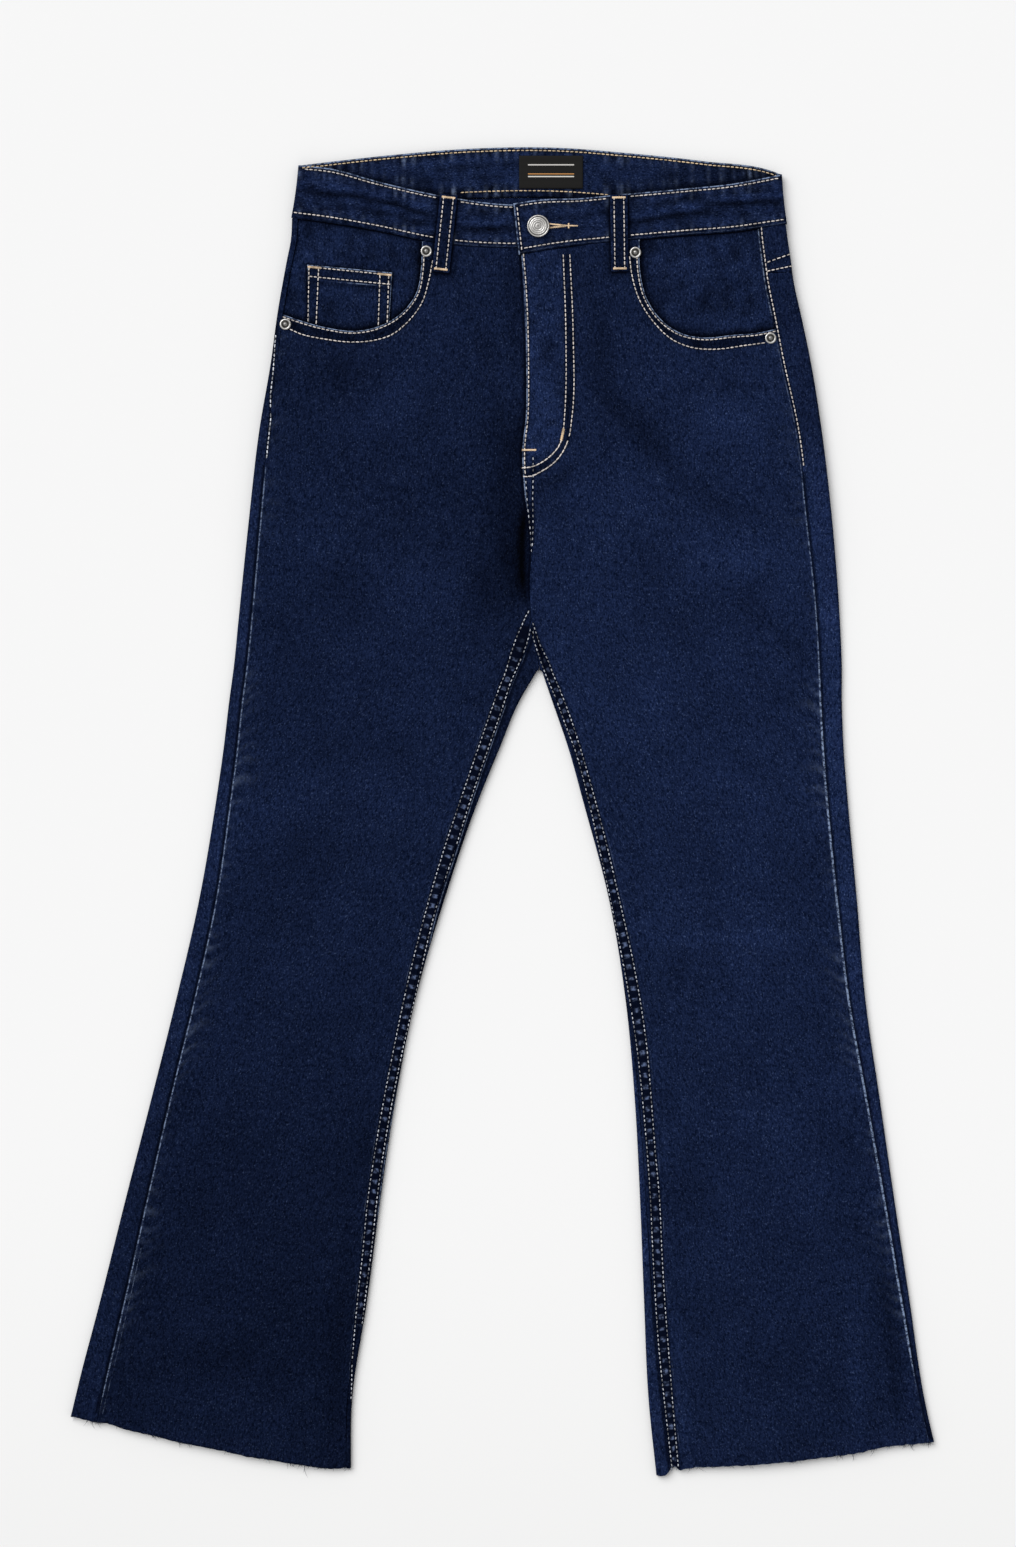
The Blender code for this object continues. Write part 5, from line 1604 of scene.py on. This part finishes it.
def sew(name, lines, cloths, finish, goes_with):
    """One mesh of stitches: for each line a row of capsules laid on the cloth, each arched so that its
    ends go into it. lines are dicts of path, pitch, length, width, tilt, sink, turn (quarter turn for
    the bars of a bartack) and below."""
    shape, triangles = capsule()
    all_points, all_faces, first = [], [], 0
    random = np.random.default_rng(len(name) * 7 + len(lines))
    for line in lines:
        line = {**STITCH, **line}
        places, run = evenly(np.asarray(line["path"], float), line["pitch"])
        z, normal = cloths.heights(places, line["below"])
        on_cloth = np.isfinite(z)
        places, run, z, normal = places[on_cloth], run[on_cloth], z[on_cloth], normal[on_cloth]
        tilt = random.normal(0, line["tilt"], len(places))
        if line["turn"]:
            run = np.stack([-run[:, 1], run[:, 0]], axis=1)
        cos, sin = np.cos(tilt), np.sin(tilt)
        run = np.stack([run[:, 0] * cos - run[:, 1] * sin, run[:, 0] * sin + run[:, 1] * cos], axis=1)
        run = np.column_stack([run, np.zeros(len(run))])
        normal[:, :2] *= 0.7
        run -= normal * (run * normal).sum(axis=1, keepdims=True) / (normal**2).sum(axis=1, keepdims=True)
        run, normal = unit(run), unit(normal)
        side = np.cross(normal, run)
        length = line["length"] * random.uniform(0.9, 1.08, len(places))
        width = line["width"] * random.uniform(0.92, 1.08, len(places))
        points = (np.column_stack([places, z]) + normal * (line["sink"] * width)[:, None])[:, None]
        up = shape[:, 2] - STITCH_ARCH * shape[:, 0] ** 2
        for way, size, part in ((run, length, shape[:, 0]), (side, width, shape[:, 1]), (normal, width, up)):
            points = points + way[:, None] * (size[:, None] * part)[..., None]
        faces = triangles[None] + (np.arange(len(places)) * len(shape))[:, None, None] + first
        all_points.append(points.reshape(-1, 3))
        all_faces.append(faces.reshape(-1, 3))
        first += len(all_points[-1])
    loose(name, all_points, all_faces, finish, goes_with)


def loose(name, points, faces, finish, goes_with):
    """A mesh of threads, from lists of points and faces, that goes with a sheet of cloth."""
    made = mesh_object(name, np.concatenate(points), np.concatenate(faces), FINISH[finish])
    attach(made, "root")
    SHEETS[goes_with]["with"].append(made)


def rows(paths, **how):
    return [{"path": path, **how} for path in paths]


def bartack(start, end, width=1.7):
    return {
        "path": np.array([start, end]), "pitch": 0.62, "length": width, "width": 0.75, "turn": True,
        "tilt": 0.12, "sink": 0.3,
    }


def leg_stitches(side, cloths):
    """The rows of one leg: pocket, inseam, outseam, back pocket and yoke."""
    front = f"cloth_front_panel_{side}"
    sew(f"stitches_pocket_{side}", rows(pocket_rows(side)), cloths, "thread", front)
    lines = rows(fell_rows(side), length=2.1, width=0.85, tilt=0.12, sink=0.02)
    sew(f"stitches_inseam_{side}", lines, cloths, "thread_worn", front)
    top, finish = pick(side, (362.0, "thread_bleached"), (444.0, "thread"))
    lines = rows([outseam_row(side, top)])
    sew(f"stitches_outseam_{side}", lines, cloths, finish, f"cloth_back_panel_{side}")
    lines = rows(back_pocket_rows(side), below=True)
    sew(f"stitches_back_pocket_{side}", lines, cloths, "thread", f"cloth_back_pocket_{side}")
    clear = outward(side) * 2.0
    side_x = leg_line(side, "outer", YOKE_SIDE) - clear * 4
    seam = [np.array([(side_x, YOKE_SIDE + d), (CENTRE + clear, YOKE_CENTRE + d)]) for d in (2.0, 8.4)]
    sew(f"stitches_yoke_{side}", rows(seam, below=True), cloths, "thread", f"cloth_yoke_{side}")


def fly_stitches(cloths):
    """The rows and bartacks of the fly, with longer stitches where its rows turn, and the crotch rows."""
    panel = "cloth_front_panel_left"
    edge, inner, outer, *crotch = fly_rows()
    turned_in, turned_out = inner[:, 1] < FLY_TURN, outer[:, 1] <= FLY_TURN
    lines = rows([edge, inner[~turned_in], outer[~turned_out]])
    lines += rows([inner[turned_in], outer[turned_out]], length=3.6, width=0.95)
    sew("stitches_fly", lines, cloths, "thread", panel)
    sew("stitches_crotch", rows(crotch, pitch=4.2, length=2.2, width=0.8), cloths, "thread_worn", panel)
    bars = [bartack((46.9, 290.8), (45.0, 281.6), 1.9), bartack((15.2, 274.4), (26.0, 274.4), 1.5)]
    sew("bartacks_fly", bars, cloths, "thread_tan", panel)


def band_stitches(cloths):
    """The waistband's rows, as far as the belt loops leave them to be seen."""
    top, low, tab_low, tab_top = BAND_TOP_ROW, BAND_LOW_ROW, 425.6, 459.0
    front = [band_row(top, 0, (2, 0)), band_row(low, 0, (2, -2)), band_row(low, 4, (-4, 0))]
    front[2] = front[2][front[2][:, 0] < 11.0]
    under = band_row(top, 4, (1, 0))
    front.append(under[under[:, 0] < 9.0])
    front.append(np.array([(TAB_END + 2.6, tab_low), (TAB_END + 2.9 - TAB_SLANT, tab_top)]))
    front = [part for path in front for part in around_loops(path, True)]
    sew("stitches_waistband", rows(front), cloths, "thread", "cloth_waistband")
    inside = band_row(0.13, 2)
    inside = inside[(inside[:, 0] > -33.0) & (inside[:, 0] < 83.0)]
    lines = rows([band_row(top, 2), inside])
    sew("stitches_waistband_inside", lines, cloths, "thread_gold", "cloth_waistband")
    outside = [part for share in (top, low) for part in around_loops(band_row(share, 2), False)]
    sew("stitches_waistband_outside", rows(outside, below=True), cloths, "thread", "cloth_waistband")


def loop_stitches(name, top, low, on_front, cloths):
    """A belt loop's two rows, and a bartack across each of its ends."""
    along, across = loop_frame(top, low)
    bars = []
    for end, shift in ((top, -2.2), (low, 2.2)):
        middle = np.array(end) + along * shift
        bars.append({**bartack(middle - across * 5.1, middle + across * 5.1), "below": not on_front})
    lines = rows(loop_rows(top, low), below=not on_front)
    sew(f"stitches_{name}", lines, cloths, "thread", f"cloth_{name}")
    sew(f"bartacks_{name}", bars, cloths, "thread_tan", f"cloth_{name}")


def all_stitches(cloths):
    for side in ("right", "left"):
        leg_stitches(side, cloths)
    fly_stitches(cloths)
    sew("stitches_yoke_showing", rows(YOKE_ROWS_SHOWING), cloths, "thread", "cloth_yoke_left")
    lines = rows(centre_rows(YOKE_CENTRE - 1), below=True)
    sew("stitches_centre_back", lines, cloths, "thread", "cloth_back_panel_left")
    sew("stitches_coin_pocket", rows(COIN_ROWS), cloths, "thread", "cloth_coin_pocket")
    bars = [bartack((-147.6, 413.9), (-137.4, 412.9)), bartack((-94.6, 408.6), (-84.0, 407.5))]
    sew("bartacks_coin_pocket", bars, cloths, "thread_tan", "cloth_coin_pocket")
    band_stitches(cloths)
    for loop in BELT_LOOPS:
        loop_stitches(*loop, cloths)
    hole = [bartack(*bar) for bar in BUTTONHOLE_BARS]
    sew("buttonhole", hole, cloths, "thread_tan", "cloth_waistband")


def fray(name, finish, count, longest, tufts, seed):
    """Short loose threads along both raw hems: thin three-sided spikes that hang down and curl. Half of
    them stand in tufts, of which there are more near the outer corner and one at the end of each seam."""
    random = np.random.default_rng(seed)
    all_points, all_faces, first = [], [], 0
    t = np.linspace(0, 1, FRAY_RINGS)
    spokes = np.radians([0, 120, 240])
    for side in ("right", "left"):
        line = np.array(HEM_LINE[side])
        ends = line[[0, -1], 0]
        seams = [leg_line(side, "outseam", HEM[side]["outer"]), leg_line(side, "inseam", HEM[side]["inner"])]
        along = random.uniform(*ends, tufts)
        near_corner = pick(side, *ends) - outward(side) * random.uniform(1, 22, tufts // 6)
        places = np.array([*along, *near_corner, *seams, *seams])
        in_tuft = places[random.integers(0, len(places), count // 2)] + random.normal(0, 0.7, count // 2)
        x = np.append(random.uniform(*ends, count - count // 2), in_tuft)
        x = np.clip(x, ends[0] + 0.6, ends[1] - 0.6)
        y = np.interp(x, *line.T)
        length = random.gamma(2.0, longest / 4.5, count) * np.where(np.arange(count) < count // 2, 0.8, 1.5)
        lean = random.normal(0, 0.75, count)
        curl = random.normal(0, 0.8, count)
        width = random.uniform(0.35, 0.65, count)
        z = random.uniform(1.0, 3.4, count)
        angle = lean[:, None] + curl[:, None] * t
        px = x[:, None] + length[:, None] * t * np.sin(angle)
        py = y[:, None] + 0.7 - length[:, None] * t * np.cos(angle)
        pz = z[:, None] * (1 - 0.5 * t)
        thin = (width[:, None] * (1 - 0.75 * t))[..., None] / 2
        px = px[..., None] + thin * np.cos(spokes)
        pz = pz[..., None] + thin * np.sin(spokes)
        rings = np.broadcast_arrays(px, py[..., None], pz)
        all_points.append(np.stack(rings, axis=-1).reshape(-1, 3))
        index = np.arange(count * 3 * FRAY_RINGS).reshape(count, FRAY_RINGS, 3) + first
        wrapped = np.concatenate([index, index[:, :, :1]], axis=2)
        a, b = wrapped[:, :-1, :-1].ravel(), wrapped[:, :-1, 1:].ravel()
        c, d = wrapped[:, 1:, 1:].ravel(), wrapped[:, 1:, :-1].ravel()
        all_faces += [np.stack([a, b, c], axis=1), np.stack([a, c, d], axis=1)]
        all_faces += [index[:, 0, ::-1], index[:, -1]]
        first += len(all_points[-1])
    loose(name, all_points, all_faces, finish, "cloth_front_panel_right")


# ------------ materials
class Nodes:
    """A shader node tree, with a short method for each kind of node that the finishes use."""

    def __init__(self, tree):
        self.tree = tree

    def put(self, sockets, values):
        """Links each value that is a socket, and sets each one that is a constant."""
        for socket, value in zip(sockets, values):
            if isinstance(value, bpy.types.NodeSocket):
                self.tree.links.new(value, socket)
            else:
                socket.default_value = value

    def add(self, kind, sockets=(), values=(), **settings):
        """A new node with its settings made and its named or numbered inputs filled."""
        made = self.tree.nodes.new("ShaderNode" + kind)
        for name, value in settings.items():
            setattr(made, name, value)
        self.put([made.inputs[key] for key in sockets], values)
        return made

    def math(self, operation, *values, clamp=False):
        made = self.add("Math", range(len(values)), values, operation=operation, use_clamp=clamp)
        return made.outputs[0]

    def noise(self, vector, scale, detail=2.0, roughness=0.5):
        sockets = ("Vector", "Scale", "Detail", "Roughness")
        return self.add("TexNoise", sockets, (vector, scale, detail, roughness)).outputs["Fac"]

    def stretched(self, vector, scale):
        return self.add("VectorMath", (0, 1), (vector, scale), operation="MULTIPLY").outputs[0]

    def spread(self, value, low, high, to_low=0.0, to_high=1.0, kind="SMOOTHSTEP"):
        values = (value, low, high, to_low, to_high)
        return self.add("MapRange", range(5), values, interpolation_type=kind).outputs[0]

    def blend(self, share, first, second, kind="MIX"):
        made = self.add("Mix", data_type="RGBA", blend_type=kind)
        self.put([made.inputs[key] for key in (0, 6, 7)], (share, first, second))
        return made.outputs[2]

    def largest(self, values):
        """The largest of several values."""
        best = values[0]
        for value in values[1:]:
            best = self.math("MAXIMUM", best, value)
        return best

    def attribute(self, name, output="Vector"):
        return self.add("Attribute", attribute_name=name).outputs[output]

    def parts(self, vector):
        return self.add("SeparateXYZ", (0,), (vector,)).outputs

    def place(self):
        return self.add("TexCoord").outputs["Object"]

    def use(self, name, **values):
        """A node group, with its inputs filled by name."""
        made = self.add("Group", node_tree=bpy.data.node_groups[name])
        self.put([made.inputs[key.capitalize()] for key in values], values.values())
        return made.outputs


def group(name, inputs, outputs):
    """A shader node group with named sockets: (its nodes, inputs by name, sockets to lead out by)."""
    tree = bpy.data.node_groups.new(name, "ShaderNodeTree")
    for way, sockets in (("INPUT", inputs), ("OUTPUT", outputs)):
        for label, kind in sockets.items():
            tree.interface.new_socket(name=label, in_out=way, socket_type="NodeSocket" + kind)
    entry, leave = tree.nodes.new("NodeGroupInput"), tree.nodes.new("NodeGroupOutput")
    return Nodes(tree), {socket.name: socket for socket in entry.outputs if socket.name}, leave.inputs


def make_nearness():
    """1 on any of three lines, falling to 0 at Width from it. Reads the three signed distances."""
    nodes, into, leave = group("nearness", {"Distances": "Vector", "Width": "Float"}, {"Mask": "Float"})
    near = [
        nodes.spread(nodes.math("ABSOLUTE", distance), 0.0, into["Width"], 1.0, 0.0)
        for distance in nodes.parts(into["Distances"])
    ]
    nodes.put([leave["Mask"]], [nodes.largest(near)])


def make_felled_seam():
    """The look of a felled seam between its rows: near black, with a pale blot on each pucker. Share is
    the place across it, Travel the place along it in millimetres."""
    nodes, into, leave = group(
        "felled_seam", {"Share": "Float", "Travel": "Float", "Inside": "Float"},
        {"Dark": "Float", "Blobs": "Float"},
    )
    share, travel, inside = into["Share"], into["Travel"], into["Inside"]
    place = nodes.add("CombineXYZ", (0, 1), (travel, nodes.math("MULTIPLY", share, 6.0))).outputs[0]
    uneven, ragged, blotches = (nodes.noise(nodes.stretched(place, size), 1.0) for size in FELLED_NOISES)
    turn = nodes.math("MULTIPLY_ADD", travel, 2 * math.pi / FELL_PITCH, nodes.math("MULTIPLY", uneven, 4.0))
    wave = nodes.spread(nodes.math("SINE", turn), 0.05, 0.75)
    off_middle = nodes.math("ABSOLUTE", nodes.math("SUBTRACT", share, 0.5))
    centre = nodes.spread(nodes.math("MULTIPLY_ADD", ragged, 0.5, off_middle), 0.34, 0.6, 1.0, 0.0)
    blobs = nodes.math("MULTIPLY", wave, centre)
    for mask in (nodes.spread(blotches, 0.38, 0.66, 0.05, 0.8), nodes.spread(travel, 15.0, 60.0), inside):
        blobs = nodes.math("MULTIPLY", blobs, mask)
    nodes.put([leave["Dark"], leave["Blobs"]], [nodes.math("MULTIPLY", inside, 0.85), blobs])


# how the felled seam's noises are stretched: waviness, ragged sides, strength of the blots
FELLED_NOISES = ((0.11, 0.11, 0.11), (0.55, 0.6, 0.5), (0.4, 0.4, 0.4))
# the weave's noises, each with its stretch, detail and roughness: streaks, grains, patches, clouds
WEAVE_NOISES = (
    ((0.72, 0.34, 0.4), 3.0, 0.65), ((1.0, 0.7, 0.7), 2.0, 0.6),
    ((0.045, 0.03, 0.05), 3.0, 0.55), ((0.22, 0.12, 0.2), 2.0, 0.5),
)
TWILL_PITCH = 0.75
DENIM_DARKS = (0.0010, 0.0028, 0.0115)
DENIM_LIGHTS = (0.0092, 0.0170, 0.0520)
DENIM_SPECK = (0.050, 0.074, 0.145)
DENIM_WORN = (0.27, 0.355, 0.535)


def make_denim_weave():
    """Colour and height of dark denim: streaks along the grain, specks, a fine twill and cloudy patches.
    Weave is the place in the cloth in millimetres, with the warp along Y."""
    nodes, into, leave = group(
        "denim_weave", {"Weave": "Vector", "Shade": "Float"}, {"Colour": "Color", "Height": "Float"}
    )
    weave = into["Weave"]
    streaks, grains, patches, clouds = (
        nodes.noise(nodes.stretched(weave, size), 1.0, detail, rough) for size, detail, rough in WEAVE_NOISES
    )
    mixed = nodes.math("MULTIPLY_ADD", streaks, 0.6, nodes.math("MULTIPLY", grains, 0.4))
    share = nodes.spread(mixed, 0.38, 0.64, 0.0, 1.0, "LINEAR")
    colour = nodes.blend(share, (*DENIM_DARKS, 1), (*DENIM_LIGHTS, 1))
    colour = nodes.blend(nodes.spread(grains, 0.61, 0.75, 0.0, 0.6), colour, (*DENIM_SPECK, 1))
    cloudy = [nodes.math("MULTIPLY_ADD", noise, 0.5, 0.75) for noise in (patches, clouds)]
    # Shade carries the piece's tone together with its painted light and shade
    tone = nodes.math("MULTIPLY", nodes.math("MULTIPLY", *cloudy), into["Shade"])
    grey = nodes.add("CombineColor", (0, 1, 2), (tone, tone, tone)).outputs[0]
    x, y, _ = nodes.parts(weave)
    diagonal = nodes.math("ADD", x, nodes.math("MULTIPLY", y, 0.7))
    twill = nodes.math("SINE", nodes.math("MULTIPLY", diagonal, 2 * math.pi / TWILL_PITCH))
    height = nodes.math("MULTIPLY_ADD", twill, 0.06, nodes.math("MULTIPLY", mixed, 0.5))
    nodes.put([leave["Colour"], leave["Height"]], [nodes.blend(1.0, colour, grey, "MULTIPLY"), height])


def new_material(name, colour, roughness, specular=0.5):
    """(material, its nodes, its shader) of one finish."""
    made = bpy.data.materials.new(name)
    made.use_nodes = True
    made.diffuse_color = (*colour, 1.0)
    shader = made.node_tree.nodes["Principled BSDF"]
    shader.inputs["Roughness"].default_value = roughness
    shader.inputs["Specular IOR Level"].default_value = specular
    return made, Nodes(made.node_tree), shader.inputs


def denim_finish():
    """Dark denim with painted shade in and beside its stitch grooves and beside the other lines of its row
    attributes, pale worn lines and worn crests. Under the height that shaded_above gives, the shade isn't
    used."""
    made, nodes, shader = new_material("indigo_denim", DENIM_LIGHTS, 0.88, 0.015)
    weave = nodes.attribute("weave")
    height = nodes.math("MULTIPLY", nodes.parts(nodes.place())[2], 1000.0)
    used = nodes.math("GREATER_THAN", height, nodes.attribute("shaded_above", "Fac"))
    change = nodes.math("SUBTRACT", nodes.attribute("shade", "Fac"), 1.0)
    look = nodes.use("denim_weave", weave=weave, shade=nodes.math("MULTIPLY_ADD", change, used, 1.0))

    def near(prefix, names, width):
        sets = [nodes.attribute(f"{prefix}_{name}") for name in names]
        return nodes.largest([nodes.use("nearness", distances=each, width=width)[0] for each in sets])

    groove, painted_row_shade = near("row", ROW_GROUPS, 1.0), near("row", ROW_GROUPS, 2.3)
    line = near("worn", WORN_GROUPS, 0.75)
    # painted shade beside every line of the row attributes: in and beside the stitch grooves, and beside the
    # edges that shade the cloth
    colour = nodes.blend(nodes.math("MULTIPLY", painted_row_shade, 0.78), look["Colour"], (0.0008, 0.0016, 0.006, 1))
    share, travel, inside = nodes.parts(nodes.attribute("felled"))
    seam = nodes.use("felled_seam", share=share, travel=travel, inside=inside)
    colour = nodes.blend(seam["Dark"], colour, (0.0012, 0.0022, 0.0080, 1))
    colour = nodes.blend(seam["Blobs"], colour, (0.11, 0.15, 0.27, 1))
    broken = nodes.noise(nodes.stretched(weave, (0.5, 0.42, 0.4)), 1.0, 2.0, 0.6)
    dashes = nodes.noise(nodes.stretched(weave, (0.3, 0.36, 0.3)), 1.0, 3.0, 0.7)
    line = nodes.math("MULTIPLY", line, nodes.spread(dashes, 0.42, 0.58, 0.08, 1.0))
    wear = nodes.attribute("wear", "Fac")
    rubbed = nodes.math("MULTIPLY", wear, nodes.spread(broken, 0.35, 0.65, 0.2, 1.0))
    pale = nodes.math("MAXIMUM", nodes.math("MULTIPLY", line, 0.78), rubbed, clamp=True)
    height = nodes.math("SUBTRACT", look["Height"], nodes.math("MULTIPLY", groove, 1.2))
    bump = nodes.add("Bump", ("Distance", "Strength", "Height"), (0.0004, 0.5, height))
    colour = nodes.blend(pale, colour, (*DENIM_WORN, 1))
    nodes.put([shader["Base Color"], shader["Normal"]], [colour, bump.outputs[0]])
    return made


def thread_finish(name, colour, least=0.55):
    """Twisted thread: its colour varies along the row, down to a share of itself."""
    made, nodes, shader = new_material(name, colour, 0.7, 0.2)
    share = nodes.spread(nodes.noise(nodes.place(), 190.0), 0.35, 0.62)
    dark = tuple(least * part for part in colour)
    nodes.put([shader["Base Color"]], [nodes.blend(share, (*dark, 1), (*colour, 1))])
    return made


def pewter_finish():
    """Aged pewter: darker in cloudy patches and where the piece's groove attribute says."""
    made, nodes, shader = new_material("aged_pewter", (0.3, 0.29, 0.27), 0.4)
    share = nodes.spread(nodes.noise(nodes.place(), 900.0, 3.0), 0.3, 0.7)
    colour = nodes.blend(share, (0.4, 0.39, 0.38, 1), (0.62, 0.61, 0.59, 1))
    colour = nodes.blend(nodes.attribute("groove", "Fac"), colour, (0.035, 0.033, 0.03, 1))
    rough = nodes.spread(share, 0.0, 1.0, 0.46, 0.32)
    nodes.put([shader[key] for key in ("Base Color", "Metallic", "Roughness")], [colour, 1.0, rough])
    return made


# plain lines woven across the label: level, half their width, colour
LABEL_LINES = (
    (482.6, 0.45, (0.62, 0.6, 0.55)),
    (484.6, 0.35, (0.5, 0.24, 0.08)),
    (491.5, 0.45, (0.55, 0.53, 0.5)),
)
LABEL_REACH = 17.5  # of its lines, on each side of its middle
LABEL_RIB = 0.9


def label_finish():
    """Black ribbed label with three plain lines across it, two pale ones and a tan one."""
    made, nodes, shader = new_material("woven_black", (0.012, 0.012, 0.012), 0.7, 0.05)
    x, y, _ = nodes.parts(nodes.stretched(nodes.place(), (1000.0, 1000.0, 1000.0)))
    rib = nodes.math("SINE", nodes.math("MULTIPLY", y, 2 * math.pi / LABEL_RIB))
    colour = nodes.blend(nodes.spread(rib, -1, 1), (0.008, 0.008, 0.008, 1), (0.017, 0.016, 0.015, 1))

    def within(value, middle, reach):
        away = nodes.math("ABSOLUTE", nodes.math("SUBTRACT", value, middle))
        return nodes.math("LESS_THAN", away, reach)

    inside = within(x, sum(LABEL["x"]) / 2, LABEL_REACH)
    for level, half, tint in LABEL_LINES:
        mask = nodes.math("MULTIPLY", within(y, level, half), inside)
        colour = nodes.blend(mask, colour, (*tint, 1))
    nodes.put([shader["Base Color"]], [colour])
    return made


def tape_finish():
    made, nodes, shader = new_material("zip_tape", (0.012, 0.014, 0.022), 0.8)
    share = nodes.spread(nodes.noise(nodes.place(), 1200.0), 0.35, 0.65)
    nodes.put([shader["Base Color"]], [nodes.blend(share, (0.009, 0.011, 0.018, 1), (0.018, 0.02, 0.03, 1))])
    return made


def floor_finish():
    """Plain pale paper, with painted shade: a trace darker towards the hems."""
    made, nodes, shader = new_material("pale_floor", (0.83, 0.83, 0.83), 0.9, 0.1)
    # painted shade: the floor darker towards the hems
    share = nodes.spread(nodes.parts(nodes.place())[1], -0.75, -0.2)
    colour = nodes.blend(share, (0.782, 0.782, 0.778, 1), (0.83, 0.83, 0.83, 1))
    nodes.put([shader["Base Color"]], [colour])
    return made


# ------------ stage
FLOOR_HALF = 6000.0
FLOOR_LEVEL = -1.0  # clear of the stitches on the underside
SKY = 0.58
LAMP = 2.3
LAMP_ANGLE = 50.0
LAMP_WAY = (0.75, -0.85, -1.25)
CAMERA_AT = (0.00456, 0.02888, 3.0)
CAMERA_SENSOR = 36.0
VIEW_WIDTH = 1.1757  # metres that the frame's longer side takes in, at the jeans' distance
VIEW_DISTANCE = 2.995


def stage():
    """A pale floor, a wide soft lamp above and the camera straight over the jeans."""
    around = ((-1, -1), (1, -1), (1, 1), (-1, 1))
    corners = np.array([(x * FLOOR_HALF, y * FLOOR_HALF, FLOOR_LEVEL) for x, y in around])
    mesh_object("floor", corners, np.array([[0, 1, 2, 3]]), FINISH["floor"])
    scene = bpy.context.scene
    world = bpy.data.worlds.new("studio")
    world.use_nodes = True
    background = world.node_tree.nodes["Background"]
    background.inputs[0].default_value = (1.0, 1.0, 1.0, 1.0)
    background.inputs[1].default_value = SKY
    scene.world = world
    lamp = bpy.data.lights.new("softbox", "SUN")
    lamp.angle = math.radians(LAMP_ANGLE)
    lamp.energy = LAMP
    lamp_object = bpy.data.objects.new("softbox", lamp)
    lamp_object.rotation_euler = Vector(LAMP_WAY).to_track_quat("-Z", "Y").to_euler()
    scene.collection.objects.link(lamp_object)
    camera = bpy.data.cameras.new("camera")
    camera.lens = CAMERA_SENSOR * VIEW_DISTANCE / VIEW_WIDTH
    camera.sensor_width = CAMERA_SENSOR
    camera_object = bpy.data.objects.new("camera", camera)
    camera_object.location = CAMERA_AT
    scene.collection.objects.link(camera_object)
    scene.camera = camera_object
    scene.view_settings.view_transform = "Standard"


# ------------ everything
make_nearness()
make_denim_weave()
make_felled_seam()
FINISH = {
    "denim": denim_finish(),
    "thread": thread_finish("ecru_thread", (0.74, 0.68, 0.635)),
    "thread_worn": thread_finish("worn_thread", (0.53, 0.56, 0.62), 0.15),
    "thread_bleached": thread_finish("bleached_thread", (0.76, 0.8, 0.88), 0.2),
    "thread_tan": thread_finish("tan_thread", (0.78, 0.59, 0.39)),
    "thread_gold": thread_finish("pale_gold_thread", (0.78, 0.6, 0.38)),
    "fray": thread_finish("loose_cotton", (0.62, 0.68, 0.78)),
    "fray_blue": thread_finish("loose_blue", (0.012, 0.02, 0.05)),
    "label": label_finish(),
    "tape": tape_finish(),
    "pewter": pewter_finish(),
    "floor": floor_finish(),
}

for leg in ("right", "left"):
    back_panel(leg)
    yoke(leg)
    back_pocket(leg)
    pocket_facing(leg)
    front_panel(leg)
coin_pocket()
fly_shield()
fly_zip()
waistband()
label()
for loop in BELT_LOOPS:
    belt_loop(*loop)
button()
all_cloth = Cloths([entry["piece"] for entry in SHEETS.values()])
for fixing in RIVETS:
    rivet(*fixing, all_cloth)
all_stitches(all_cloth)
fray("fray_pale", "fray", 260, 2.6, 14, 90)
fray("fray_blue", "fray_blue", 640, 3.2, 34, 91)
stage()
